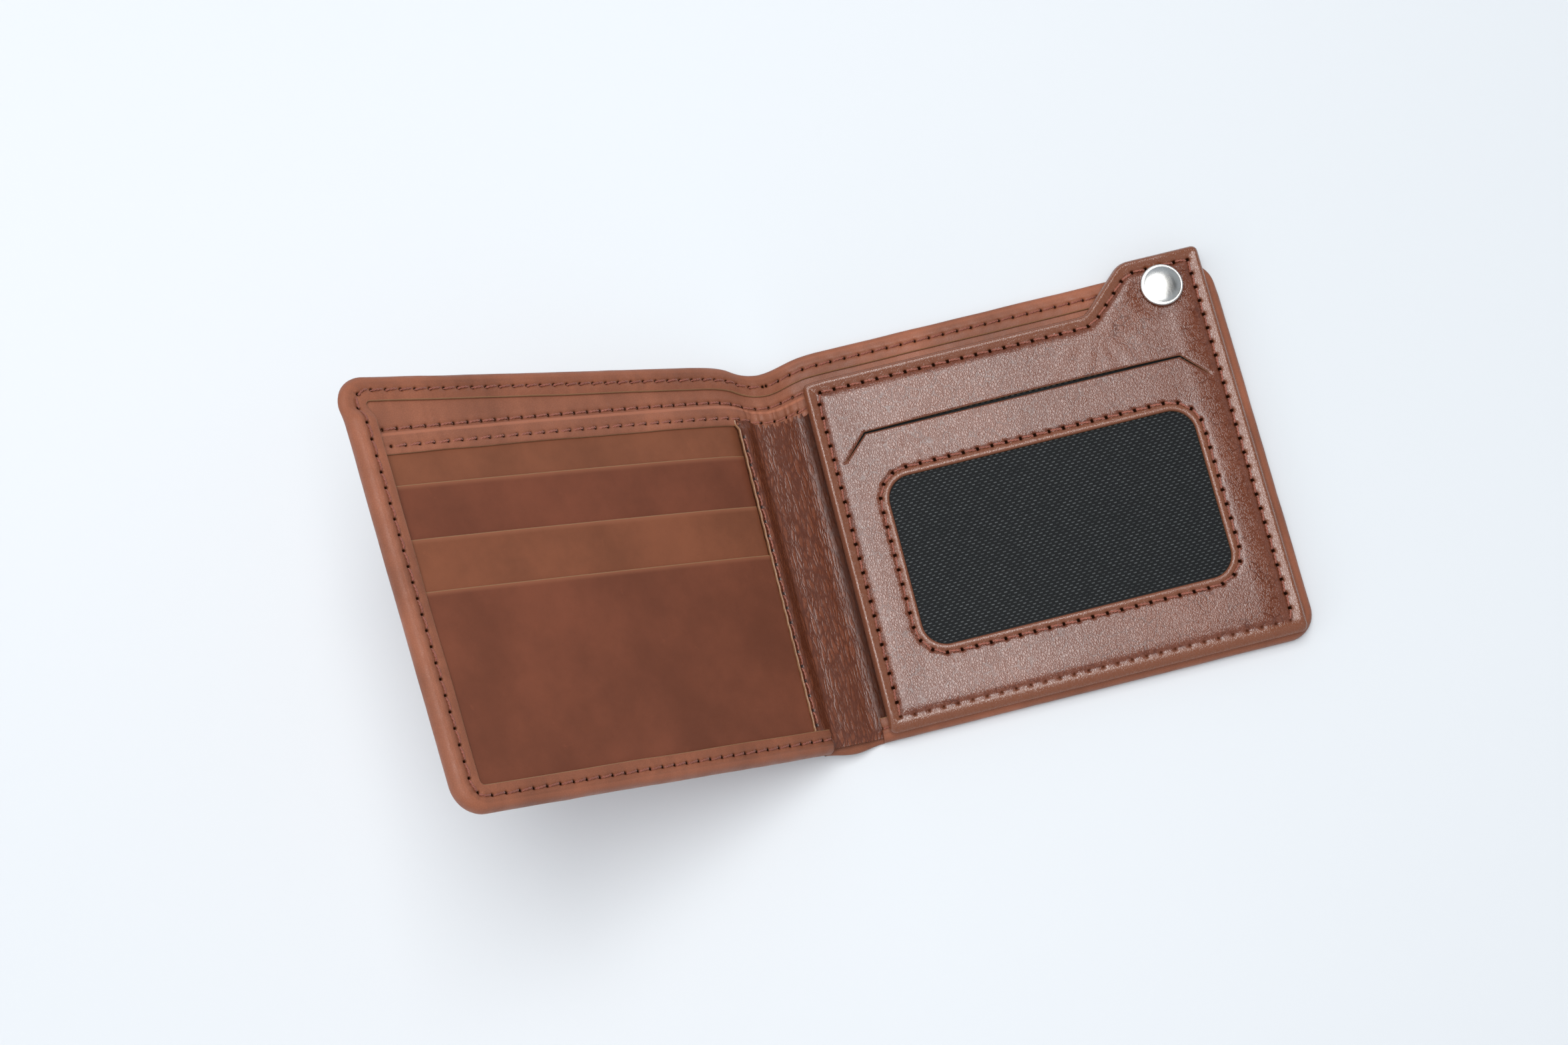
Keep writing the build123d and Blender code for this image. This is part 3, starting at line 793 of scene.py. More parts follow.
def strip(side, x_range, y_range, low, top, step, wave=0.0, seed=1, slot=False, shape=None):
    """A flat sheet with rounded cut edges. At a slot its top edge shows raw leather, then a paler band that
    is partly burnish and partly a painted highlight.
    """
    xs = spread(*x_range, step[0])
    ys = spread(*y_range, step[1])
    plan_x, plan_y = np.meshgrid(xs, ys, indexing="ij")
    inset = reach - x_range[1]
    if inset < 4:
        r = corner_radius - inset
        near = np.clip(r + inset - np.minimum(plan_y, height - plan_y), 0, r)
        far = x_range[1] - r + np.sqrt(r**2 - near**2)
        plan_x = x_range[0] + (plan_x - x_range[0]) * (far - x_range[0]) / (x_range[1] - x_range[0])
    from_top = y_range[1] - plan_y
    to_edge = np.minimum.reduce([plan_y - y_range[0], from_top, plan_x - x_range[0], x_range[1] - plan_x])
    lift = shape(plan_x, plan_y) if shape else 0.0
    waves = wave * ripple(plan_x * side, plan_y, 16, seed)
    top_z = top + lift + waves - edge_drop(to_edge, min(0.3, top - low))
    sheet = sheet_grid(plan_x, plan_y, top_z, np.minimum(low + lift, top_z - 0.02))
    # along a slot's top edge: raw leather, then the edge mark, partly burnish and partly a painted highlight
    # on the rounded edge
    raw, burnish_and_highlight = from_top < 0.16, np.exp(-((from_top / 0.7) ** 2))
    marks = {"cut": both(raw * float(slot)), "edge": both(burnish_and_highlight * slot)}
    return (*mirrored(side, *sheet), marks)


def make_strip(name, part, material, where, slot, *nodes):
    """The piece made from a part's points, faces and marks."""
    return make_piece(name, *part[:2], material, where, slot, list(nodes), part[2])


def row(xs, y, z):
    """Points along x at one y, or y and z for each."""
    return np.column_stack([xs, np.broadcast_to(y, xs.shape), np.broadcast_to(z, xs.shape)])


def build_linings(cloth, leather, thread):
    """The bill compartment: its cloth lining, and the leather facing with its row of stitches."""
    for side, word in ((1, "right"), (-1, "left")):
        where = f"{word} crease"

        def nodes(kind):
            return [f"{kind}_{word}"] + ([f"{kind}_spine"] if side > 0 else [])

        part = strip(side, (0, reach - 1.5), (1.5, height - 1.5), cover_t + 0.02, lining_top - 0.02, (0.9, 3))
        piece = make_strip(f"bill_lining_{word}_cloth", part, cloth, where, "lining_cloth",
                           *nodes("bill_lining"))
        make_strip(f"bill_facing_{word}_strip", facing_strip(side), leather, where, "edge_leather",
                   *nodes("bill_facing"))
        xs = np.arange(0.0, reach - hem_width + 0.3, 0.4)
        if side > 0:
            xs = xs[xs < hidden_from_x]
        path = settle(row(xs * side, facing_stitch_y, facing_top + 0.02))
        stitch_row(f"facing_stitches_{word}", path, thread, where, slant=0.15, nodes=nodes("facing_thread"))


def facing_strip(side):
    xs = np.arange(0.0, reach - 1.6, stitch_pitch / 8)
    ys = np.concatenate([[78.0, 78.1, 78.3], np.arange(79, 85.6, 0.22), [86, 87, 88.5, 90, 91]])
    plan_x, plan_y = np.meshgrid(xs, ys, indexing="ij")
    near = np.clip(plan_y - (height - corner_radius), 0, 5.0)
    far = (reach - corner_radius + np.sqrt(5.0**2 - near**2)) / (reach - 1.5)
    line_y = facing_stitch_y
    if side < 0:
        line_y = settle(row(-xs, facing_stitch_y, 0.0))[:, 1][:, None]
    dent, pit = stitch_dent(plan_x, plan_y - line_y)
    plan_x = plan_x * far
    top = facing_top - dent + 0.05 * ripple(plan_x * side, plan_y, 9, 31) - edge_drop(plan_y - 78.0, 0.25)
    sheet = sheet_grid(plan_x, plan_y, top, np.full(plan_x.shape, lining_top))
    return (*mirrored(side, *sheet), {"pit": both(pit, pit * 0)})


def build_left_panel(leathers, cloth):
    """The card panel and its three pockets, one over the other like shingles."""
    outer = reach - 2.2
    inner = crease + 3.4

    def add(name, part, material, slot, node):
        return make_strip(name, (settle(part[0]), *part[1:]), material, "left_wing", slot, node)

    span = (inner, outer), (1.6, panel_top_y - 0.3)
    part = strip(-1, *span, panel_low, panel_low + 0.14, (4, 4))
    piece = add("panel_lining_left_cloth", part, cloth, "lining_cloth", "panel_lining_left")
    part = strip(-1, *span, panel_low + 0.16, panel_top, (1.5, 1.5), 0.05, 3)
    add("card_panel_left_leather", part, leathers[0], "pocket_leather", "card_panel_left")
    for number, slot_y in enumerate(slot_edges):
        low = panel_top + number * pocket_t
        front = number == len(slot_edges) - 1
        foot = 1.6 if front else slot_edges[number + 1] - 9.0

        def lie(x, y, slot_y=slot_y):
            """The pocket stands a little open at its slot and presses down towards its foot."""
            held = smooth(np.minimum(x - 12.5, reach - hem_width - x) / 9)
            return np.exp(-((slot_y - y) / 5.0)) * 0.16 * held

        part = strip(-1, (inner, outer), (foot, slot_y), low, low + pocket_t, (1.5, 1.0), 0.06, 7 + number,
                     slot=True, shape=lie)
        add(f"card_pocket_{number + 1}_leather", part, leathers[number + 1], "pocket_leather",
            f"card_pocket_{number + 1}")


def binding(side, x_range, seed):
    """The leather folded over a panel's top edge, from its raw lower edge up and round to the back."""
    xs = np.arange(x_range[0], x_range[1] + 0.01, stitch_pitch / 8)
    face = panel_top + 0.5
    wave = 0.10 * ripple(xs * side, xs * 0, 10, seed, 2)
    near_spine = smooth((13 - xs) / 8)
    wrinkle = 0.16 * near_spine * np.sin(xs * 3.1 + np.sin(xs * 1.7)) + wave * 0.6
    fold_over = Rings(lambda y, z: np.column_stack([xs * side, y, z]), len(xs))
    ring = fold_over.add
    ring(binding_bottom_y + wave, panel_top + 0.02, cut=1.0)
    ring(binding_bottom_y - 0.02 + wave, face - 0.25, cut=1.0)
    ring(binding_bottom_y + 0.08 + wave, face - 0.06, cut=0.6)
    for offset in (-1.6, -1.3, -1.0, -0.75, -0.5, -0.25, 0, 0.25, 0.5, 0.75, 1.0, 1.4, 1.8, 2.2):
        dent, pit = stitch_dent(xs, offset)
        puff = 0.14 * math.sin((offset + 2) / 5 * math.pi)
        ring(binding_stitch_y + offset, face - dent + wrinkle + puff, pit=pit)
    for angle in np.linspace(0.15, math.pi, 9):
        middle = (face + panel_low) / 2
        # rim peaks on the fold's upward face and carries the edge mark, which the leather shows as a painted
        # highlight
        rim = 0.5 + 0.5 * math.cos(angle - 0.9)
        y = binding_top_y - 0.95 + 0.95 * math.sin(angle) + wave * 0.5
        ring(y, middle + (face - middle) * math.cos(angle) + wrinkle * (angle < 1.5), edge=rim * 0.7)
    ring(79.5, panel_low)
    ring(79.5, panel_low + 0.1)
    return fold_over.tube(flip=side < 0), row(xs * side, binding_stitch_y, face + 0.06 + wrinkle)


def build_bindings(leather, thread):
    (verts, faces, marks), line = binding(-1, (0.0, reach - hem_width + 0.4), 21)
    part = settle(verts), faces, marks
    make_strip("panel_binding_left_strip", part, leather, "left crease", "edge_leather", "panel_binding_left")
    stitch_row("binding_stitches_left", settle(line), thread, "left crease", slant=0.3,
               nodes=["binding_thread_left"])
    part, line = binding(1, (0.0, 80.0), 22)
    make_strip("panel_binding_right_strip", part, leather, "right crease", "edge_leather",
               "panel_binding_right", "panel_binding_spine")
    stitch_row("binding_stitches_right", line, thread, "right crease", slant=0.3,
               nodes=["binding_thread_spine"])


def spine_height(x):
    """The inner spine leather's top: over the card pockets, down, and in a low arch across the spine."""
    a = -x
    over_pockets = pockets_top + 0.62
    arch = panel_low + 1.25
    climb = smooth((a - 5.0) / 5.2)
    right = smooth((x - 3.0) / 6.0)
    return arch * (1 - climb) * (1 - right) + over_pockets * climb + (panel_top + 0.6) * right


def build_spine_leather(leather, thread):
    bottom_y, top_y = 1.1, 79.2
    for side, far in ((-1, seam_edge_x), (1, spine_leather_end)):
        word = "right" if side > 0 else "left"
        xs = np.concatenate([np.arange(0, far - 0.5, 0.28), far - 0.5 * np.array([1.0, 0.5, 0.2, 0.05, 0.0])])
        ys = spread(bottom_y, top_y, stitch_pitch / 8)
        plan_x, plan_y = np.meshgrid(xs, ys, indexing="ij")
        signed = plan_x * side
        crease_wave = ripple(signed * 1.5, plan_y * 0.3, 3.0, 41, 2)
        free = 1 - smooth((np.abs(signed) - 8.5) / 2.5)
        top = spine_height(signed) + 0.09 * crease_wave * free - edge_drop(far - plan_x, 0.3)
        top = top - 0.5 * smooth((2.4 - (plan_y - bottom_y)) / 2.4) * free
        pit = np.zeros(plan_x.shape)
        if side < 0:
            dent, pit = stitch_dent(plan_y, plan_x - seam_stitch_x)
            top = top - dent
            tuck = smooth((plan_y - 76.5) / 2.0) + smooth((5.8 - plan_y) / 1.5)
            top = top - np.clip(tuck, 0, 1) * 0.9 * smooth((plan_x - 7) / 3)
        part = mirrored(side, *sheet_grid(plan_x, plan_y, top, top - 0.6))
        marks = {"pit": both(pit, pit * 0), "cut": both((far - plan_x < 0.2) * float(side < 0))}
        nodes = ["spine_leather_left"] if side < 0 else ["spine_leather_right", "spine_leather"]
        make_strip(f"spine_leather_{word}_half", (*part, marks), leather, f"{word} crease", "spine_leather",
                   *nodes)
    ys = np.arange(6.8, 77.6, 0.4)
    path = np.column_stack([np.full(ys.shape, -seam_stitch_x), ys, np.full(ys.shape, pockets_top + 0.68)])
    stitch_row("seam_stitches", path, thread, "left_wing", slant=0.3, nodes=["seam_thread_left"])


def build_right_panel(leathers, cloth):
    """The inner panel under the insert, with its slip pocket."""
    inner, outer = 8.6, reach - 2.2
    foot, panel_edge, pocket_edge = 1.6, 80.2, 62.0
    part = strip(1, (inner, outer), (foot, panel_edge), panel_low, panel_low + 0.14, (4, 4))
    piece = make_strip("panel_lining_right_cloth", part, cloth, "right_wing", "lining_cloth",
                       "panel_lining_right")
    part = strip(1, (inner, outer), (foot, panel_edge), panel_low + 0.16, panel_top, (1.5, 1.5), 0.04, 5)
    make_strip("inner_panel_right_leather", part, leathers[0], "right_wing", "pocket_leather",
               "inner_panel_right")
    span = (spine_leather_end + 0.3, outer), (foot, pocket_edge)
    part = strip(1, *span, panel_top, slip_pocket_top, (1.5, 1.5), 0.04, 6, True)
    make_strip("slip_pocket_right_leather", part, leathers[3], "right_wing", "pocket_leather",
               "slip_pocket_right")


# ---------------------------------------------------------------- the card insert

insert_low, insert_high = cad_box("insert_front")
insert_x = insert_low[0] - origin[0]
insert_y = insert_low[1] - origin[1]
insert_w = insert_high[0] - insert_low[0]
insert_top = insert_high[2]
insert_mid = insert_low[2]
insert_bottom = cad_box("insert_back")[0][2]
insert_h = 83.5
tab_top = insert_high[1] - insert_low[1]
tab_foot, tab_shoulder = 68.0, 79.0
insert_stitch = 3.0
window_middle = (49.35, 36.7)
window_size = (72.7, 40.0)
window_radius = 5.5
window_stitch = 2.0
slot_points = ((5.7, 63.0), (11.4, 68.6), (86.8, 68.6), (92.4, 63.0))
slot_width = 0.9
snap_centre = np.array(joint["insert_swing"]["pos_m"][:2]) / MM - origin[:2] - (insert_x, insert_y)


def rounded(corners, radii, step):
    """A closed outline through the corners, each rounded, with points about step apart."""
    corners = np.asarray(corners, float)
    points = []
    for i, corner in enumerate(corners):
        before, after = corners[i - 1] - corner, corners[(i + 1) % len(corners)] - corner
        before, after = before / np.linalg.norm(before), after / np.linalg.norm(after)
        half = math.acos(np.clip(before @ after, -1, 1)) / 2
        cut = radii[i] / math.tan(half)
        start, end = corner + before * cut, corner + after * cut
        centre = corner + (before + after) / np.linalg.norm(before + after) * radii[i] / math.sin(half)
        turns = max(4, int(radii[i] * (math.pi - 2 * half) / step) + 1)
        a0 = math.atan2(*(start - centre)[::-1])
        sweep = (math.atan2(*(end - centre)[::-1]) - a0 + math.pi) % (2 * math.pi) - math.pi
        for t in np.linspace(0, 1, turns):
            a = a0 + sweep * t
            points.append(centre + radii[i] * np.array([math.cos(a), math.sin(a)]))
    filled = []
    for a, b in zip(points, points[1:] + points[:1]):
        gap = np.linalg.norm(b - a)
        if gap < 1e-6:
            continue
        count = max(1, int(round(gap / step)))
        filled += [a + (b - a) * k / count for k in range(count)]
    return np.array(filled)


def insert_outline(step, inset=0.0, corner=1.5):
    k = inset
    slope = np.array([tab_shoulder - tab_foot, tab_top - insert_h])
    slope = slope / np.linalg.norm(slope)
    shift = k * (1 - slope[0]) / slope[1]
    corners = [(k, k), (insert_w - k, k), (insert_w - k, tab_top - k), (tab_shoulder + shift, tab_top - k),
               (tab_foot + shift, insert_h - k), (k, insert_h - k)]
    small = max(corner - inset, 0.25)
    return rounded(corners, [small, small, small, 5.5, 3.5 + inset, small], step)


def window_line(margin, step):
    w, h = window_size[0] / 2 + margin, window_size[1] / 2 + margin
    x, y = window_middle
    corners = [(x - w, y - h), (x + w, y - h), (x + w, y + h), (x - w, y + h)]
    return rounded(corners, [window_radius + margin] * 4, step)


def slot_outline():
    """The slot as a thin outline: along its upper side, and back along its lower side."""
    line = np.array(slot_points)
    widths = np.array([0.06, slot_width * 0.55, slot_width * 0.55, 0.06]) / 2
    dense, gap = [], []
    for a, b, wa, wb in zip(line, line[1:], widths, widths[1:]):
        count = max(2, int(np.linalg.norm(b - a) / 0.6))
        for t in np.arange(count) / count:
            dense.append(a + (b - a) * t)
            gap.append(wa + (wb - wa) * t)
    dense.append(line[-1])
    gap.append(widths[-1])
    dense, gap = np.array(dense), np.array(gap)
    ahead = np.gradient(dense, axis=0)
    ahead /= np.linalg.norm(ahead, axis=1)[:, None]
    side = np.column_stack([-ahead[:, 1], ahead[:, 0]])
    bow = 0.35 * np.sin(np.clip((dense[:, 0] - 11) / 76, 0, 1) * math.pi)
    upper = dense + side * (gap + bow)[:, None]
    lower = dense - side * gap[:, None]
    return np.vstack([upper, lower[::-1]])


def beside_slot(offset):
    """Points along the slot, to one side of it."""
    line = np.array(slot_points)
    points = []
    for a, b in zip(line, line[1:]):
        ahead = (b - a) / np.linalg.norm(b - a)
        count = int(np.linalg.norm(b - a) / 0.6)
        t = (np.arange(count) + 0.5)[:, None] / count
        aside = offset + math.copysign(slot_width * 0.3, offset)
        points.append(a + (b - a) * t + np.array([-ahead[1], ahead[0]]) * aside)
    return np.vstack(points)


def distance_to(points, outline):
    """Each point's distance to a closed outline."""
    best = np.full(len(points), 1e9)
    for a, b in zip(outline, np.roll(outline, -1, axis=0)):
        edge = b - a
        t = np.clip(((points - a) @ edge) / max(edge @ edge, 1e-12), 0, 1)
        best = np.minimum(best, np.linalg.norm(points - (a + t[:, None] * edge), axis=1))
    return best


def inside(points, outline):
    """True for points inside a closed outline."""
    result = np.zeros(len(points), bool)
    x, y = points[:, 0], points[:, 1]
    for (x0, y0), (x1, y1) in zip(outline, np.roll(outline, -1, axis=0)):
        crosses = (y0 > y) != (y1 > y)
        at = (x1 - x0) * (y - y0) / ((y1 - y0) if y1 != y0 else 1e-12) + x0
        result ^= crosses & (x < at)
    return result


def hole_places(line, pitch=stitch_pitch):
    """Needle holes evenly spaced along a closed line."""
    closed = np.vstack([line, line[:1]])
    along = np.concatenate([[0], np.cumsum(np.linalg.norm(np.diff(closed, axis=0), axis=1))])
    count = int(round(along[-1] / pitch))
    s = np.arange(count) * along[-1] / count
    return np.column_stack([np.interp(s, along, closed[:, k]) for k in (0, 1)])


def nearest(points, places):
    tree = KDTree(len(places))
    for i, p in enumerate(places):
        tree.insert((p[0], p[1], 0), i)
    tree.balance()
    return np.array([tree.find((p[0], p[1], 0))[2] for p in points])


def planar_mesh(loops, fills, spacing):
    """Triangles over a region. loops[0] is its outline, other loops its holes, fills more points inside."""
    outline, holes = loops[0], loops[1:]
    xs = np.arange(outline[:, 0].min(), outline[:, 0].max(), spacing)
    ys = np.arange(outline[:, 1].min(), outline[:, 1].max(), spacing * 0.87)
    gx, gy = np.meshgrid(xs, ys)
    gx = gx + (np.arange(len(ys)) % 2)[:, None] * spacing / 2
    extra = np.column_stack([gx.ravel(), gy.ravel()])
    keep = inside(extra, outline) & (distance_to(extra, outline) > spacing * 0.6)
    for hole in holes:
        keep &= ~inside(extra, hole) & (distance_to(extra, hole) > spacing * 0.5)
    if len(fills):
        keep &= nearest(extra, fills) > spacing * 0.55
    points, edges = [], []
    for loop in loops:
        start = len(points)
        points += [Vector(p) for p in loop]
        edges += [(start + i, start + (i + 1) % len(loop)) for i in range(len(loop))]
    points += [Vector(p) for p in fills] + [Vector(p) for p in extra[keep]]
    verts, _, faces, origins, _, _ = geometry.delaunay_2d_cdt(points, edges, [], 1, 1e-5)
    places = np.array([(v.x, v.y) for v in verts])
    middles = np.array([places[list(f)].mean(0) for f in faces])
    good = inside(middles, outline)
    for hole in holes:
        good &= ~inside(middles, hole)
    return places, [tuple(f) for f, ok in zip(faces, good) if ok]


def shell(places, faces, top, bottom):
    """A closed sheet from flat triangles, between its top and bottom heights."""
    count = len(places)
    verts = np.vstack([np.column_stack([places, top]), np.column_stack([places, bottom])])
    rim = {}
    for f in faces:
        for a, b in zip(f, f[1:] + f[:1]):
            if (b, a) in rim:
                del rim[(b, a)]
            else:
                rim[(a, b)] = True
    solid = list(faces) + [tuple(count + i for i in f[::-1]) for f in faces]
    solid += [(b, a, a + count, b + count) for a, b in rim]
    return verts, solid


def insert_height(p, front=True):
    """How far the insert's skin stands above the insert's middle, and its distance from the edge."""
    d = distance_to(p, insert_outline(0.45))
    full = (insert_top - insert_mid) if front else (insert_mid - insert_bottom)
    from_bottom = p[:, 1]
    roll = 0.95
    edge = np.sqrt(np.clip(1 - (1 - np.clip(d / roll, 0, 1)) ** 2, 0, 1))
    fold_reach = 7.5
    bottom = np.sqrt(np.clip(1 - (1 - np.clip(from_bottom / fold_reach, 0, 1)) ** 2.4, 0, 1))
    sides = smooth((from_bottom - 1.5) / 3)
    bead = 0.24 * np.exp(-(((d - 0.95) / 0.5) ** 2)) * sides
    band = (0.30 * smooth((d - 3.0) / 1.5) - 0.34 * smooth((d - 1.0) / 1.9)) * sides
    hollow = -0.16 * smooth((d - 5) / 7)
    return full * edge * bottom + bead + band + hollow * bottom, d, sides


def build_insert(leather, thread, mesh_material, cloth):
    shift = np.array([insert_x, insert_y])
    step = 0.45
    outline = insert_outline(step)
    window = window_line(0.0, step)
    slot = slot_outline()
    border = insert_outline(step, insert_stitch, 0.3)
    border_holes = hole_places(border)
    ring = window_line(window_stitch, step)
    window_holes = hole_places(ring)
    fills = []
    for inset in (0.04, 0.14, 0.32, 0.6, 1.0, 1.5, 2.0, 2.35, 2.7, 3.0, 3.3, 3.65, 4.1):
        fills.append(insert_outline(step, inset, 1.5))
    for margin in (0.1, 0.3, 0.6, 1.0, 1.35, 1.7, 2.0, 2.3, 2.65, 3.1):
        fills.append(window_line(margin, step))
    for offset in (0.3, 0.75):
        fills += [beside_slot(offset), beside_slot(-offset)]
    fills = np.vstack(fills)
    places, faces = planar_mesh([outline, window, slot], fills, 1.1)
    rise, d, sides = insert_height(places)
    across = distance_to(places, border)
    to_hole = nearest(places, border_holes)
    groove = np.exp(-((across / 0.5) ** 2)) * sides
    pit = np.exp(-((to_hole / 0.5) ** 3)) * sides
    from_window = distance_to(places, window)
    across_w = distance_to(places, ring)
    pit_w = np.exp(-((nearest(places, window_holes) / 0.5) ** 3))
    lip = 0.12 * np.exp(-(((from_window - 0.75) / 0.45) ** 2)) - edge_drop(from_window, 0.45)
    lip = lip - 0.10 * np.exp(-(((from_window - 1.7) / 0.6) ** 2))
    near_slot = distance_to(places, slot)
    below = places[:, 1] < 68.3
    gape = np.where(below, -0.05, 0.07) * np.exp(-near_slot / 3.0) - edge_drop(near_slot, 0.15)
    tab = smooth((np.hypot(places[:, 0] - snap_centre[0], places[:, 1] - snap_centre[1]) - 5.2) / 4.0)
    dip = -0.25 * (1 - tab)
    wave = 0.10 * ripple(places[:, 0], places[:, 1], 20, 51, 3) * smooth(d / 4)
    fan_dx, fan_dy = places[:, 0] - tab_foot - 2, places[:, 1] - insert_h + 4
    pleats = np.sin(np.arctan2(fan_dy, fan_dx) * 11 + 2 * ripple(places[:, 0], places[:, 1], 9, 57, 2))
    fan = 0.04 * pleats * np.exp(-(((np.hypot(fan_dx, fan_dy) - 7) / 5) ** 2)) * smooth(d / 3.6)
    window_groove = np.exp(-((across_w / 0.45) ** 2))
    top = insert_mid + rise - 0.2 * groove - 0.5 * pit - 0.16 * window_groove - 0.45 * pit_w
    top = top + lip + gape + dip + wave + fan
    top = np.where(d < 1e-3, insert_mid, top)
    bottom = np.minimum(top - 0.05, np.maximum(top - 0.8, insert_mid + 0.02))
    bottom = np.where(d < 1e-3, insert_mid, bottom)
    verts, solid = shell(places + shift, faces, top, bottom)
    cut = np.exp(-((near_slot / 0.08) ** 2)) + np.exp(-((from_window / 0.10) ** 2))
    pit = np.maximum(pit, pit_w)
    rim = np.maximum(1 - smooth((d - 2.3) / 0.9), 1 - smooth((from_window - 1.5) / 0.6))
    marks = {"pit": both(pit, pit * 0), "cut": both(cut * 0.6, cut), "rim": both(rim * 0.8)}
    make_piece("insert_front_leather", verts, solid, leather, "card_insert", "insert_leather",
               ["insert_front"], marks)
    build_insert_back(leather, shift)
    stitch_closed("border_stitches", border_holes, thread, ["border_thread"])
    stitch_closed("window_stitches", window_holes, thread, ["window_thread"])
    build_mesh_and_divider(mesh_material, cloth)


def stitch_closed(name, holes, thread, nodes):
    """Stitches round a closed line on the insert, left out under the cap and round the bottom fold."""
    shift = np.array([insert_x, insert_y])
    heights = insert_mid + insert_height(holes)[0] - 0.05
    verts, faces = [], []
    t = np.linspace(0, 1, 10)
    count = len(holes)
    for i in range(count):
        j = (i + 1) % count
        if name.startswith("border") and max(holes[i][1], holes[j][1]) < insert_stitch + 0.6:
            continue
        a, b = holes[i], holes[j]
        middle = (a + b) / 2
        if np.linalg.norm(middle - snap_centre) < 5.2:
            continue
        ahead = (b - a) / np.linalg.norm(b - a)
        side = np.array([-ahead[1], ahead[0]])
        a, b = a + ahead * 0.36 + side * 0.12, b - ahead * 0.36 - side * 0.12
        arch = np.sin(math.pi * t) ** 0.55
        xy = a + (b - a) * t[:, None] + side * (0.05 * math.sin(i * 2.7) * arch)[:, None]
        z = heights[i] + (heights[j] - heights[i]) * t - 0.35 + 0.46 * arch
        centre = np.column_stack([xy + shift, z])
        out = np.tile((*side, 0.0), (len(t), 1))
        two_plies(verts, faces, centre, out, t, i, 0.13, 0.15)
    make_piece(name, verts, faces, thread, "card_insert", "thread", nodes)


def build_insert_back(leather, shift):
    outline = insert_outline(0.45)
    insets = (0.05, 0.18, 0.4, 0.8, 1.3, 2.0, 2.6, 3.0, 3.4, 4.2)
    fills = np.vstack([insert_outline(0.45, k, 1.5) for k in insets])
    places, faces = planar_mesh([outline], fills, 1.8)
    rise, d, _ = insert_height(places, front=False)
    rise = rise + 0.05 * ripple(places[:, 0], places[:, 1], 18, 61)
    rise = np.minimum(rise, insert_mid - insert_bottom + 0.1)
    on_edge = d < 1e-3
    low = np.where(on_edge, insert_mid, insert_mid - rise)
    high = np.maximum(low + 0.05, np.minimum(low + 0.8, insert_mid - 0.02))
    high = np.where(on_edge, insert_mid, high)
    verts, solid = shell(places + shift, faces, high, low)
    make_piece("insert_back_leather", verts, solid, leather, "card_insert", "insert_leather", ["insert_back"])


def build_mesh_and_divider(mesh_material, cloth):
    for node, name, step, thick, material, slot, under in (
        ("window_mesh", "window_mesh_net", 1.0, 0.2, mesh_material, "black_mesh", "insert_front_leather"),
        ("card_divider", "card_divider_cloth", 3.0, 0.24, cloth, "lining_cloth", "insert_back_leather"),
    ):
        low, high = cad_box(node)
        xs, ys = (np.arange(low[k], high[k], step) - origin[k] for k in (0, 1))
        plan_x, plan_y = np.meshgrid(xs, ys, indexing="ij")
        if node == "window_mesh":
            top = insert_top - 1.1 + 0.18 * ripple(plan_x, plan_y, 26, 71, 2)
        else:
            top = (low[2] + high[2] + thick) / 2 + 0.05 * ripple(plan_x, plan_y, 20, 73)
        verts, faces = sheet_grid(plan_x, plan_y, top, top - thick)
        piece = make_piece(name, verts, faces, material, "card_insert", slot, [node])


# ---------------------------------------------------------------- the snap


def lathe(name, profile, centre, material, body, slot, nodes, turns=96):
    """A turned metal piece from its half section: distance from the axis and height."""
    profile = np.asarray(profile, float)
    angles = np.arange(turns) * 2 * math.pi / turns
    verts = [
        (centre[0] + r * math.cos(a), centre[1] + r * math.sin(a), z) for r, z in profile for a in angles
    ]
    faces = grid_faces(len(profile), turns, wrap=True)
    faces.append(tuple(range(turns)))
    faces.append(tuple(range((len(profile) - 1) * turns, len(profile) * turns))[::-1])
    local = np.array(verts)
    local[:, :2] -= centre
    return make_piece(name, verts, faces, material, body, slot, nodes, flat=local)


def build_snap(polished, plain, leather):
    """The cap: a low dome with a rolled rim and a fine groove inside it."""
    low, high = cad_box("snap_cap")
    radius = (high[0] - low[0]) / 2
    centre = (low + high)[:2] / 2 - origin[:2]
    base = insert_top - 0.28
    top = high[2]
    rim = [(0.01, base), (radius - 0.35, base)]
    for a in np.linspace(-math.pi / 2, math.pi / 2, 12):
        rim.append((radius - 0.36 + 0.36 * math.cos(a), base + 0.9 + 0.4 * math.sin(a)))
    crown = []
    inner = radius - 0.6
    for r in np.linspace(inner, 0.01, 22):
        crown.append((r, base + 1.24 + (top - 0.12 - base - 1.24) * (1 - (r / inner) ** 3.0)))
    lathe("snap_cap_dome", rim + crown, centre, polished, "card_insert", "polished_nickel", ["snap_cap"])
    for node in ("snap_socket", "snap_stud", "stud_rivet", "snap_spring"):
        frame["nodes"][node].data.materials.clear()
        frame["nodes"][node].data.materials.append(plain)
    low, high = cad_box("snap_patch")
    low, high = low - origin, high - origin
    outline = rounded([low[:2], (high[0], low[1]), high[:2], (low[0], high[1])], [1.2, 0.8, 0.8, 0.8], 0.4)
    turn_round = np.linspace(0, 2 * math.pi, 28, endpoint=False)
    bore = centre + 1.6 * np.column_stack([np.cos(turn_round), np.sin(turn_round)])
    edge = [outline + (outline.mean(0) - outline) * k for k in (0.015, 0.04, 0.08)]
    places, faces = planar_mesh([outline, bore], np.vstack(edge), 0.9)
    near = distance_to(places, outline)
    top = high[2] - edge_drop(near, 0.3) - 0.05 + 0.05 * ripple(places[:, 0], places[:, 1], 6, 81)
    verts, solid = shell(places, faces, top, np.full(len(places), low[2]))
    marks = {"cut": both(near < 0.02) * 1.0}
    make_strip("snap_patch_leather", (verts, solid, marks), leather, "right_wing", "cover_leather",
               "snap_patch")


# ---------------------------------------------------------------- everything

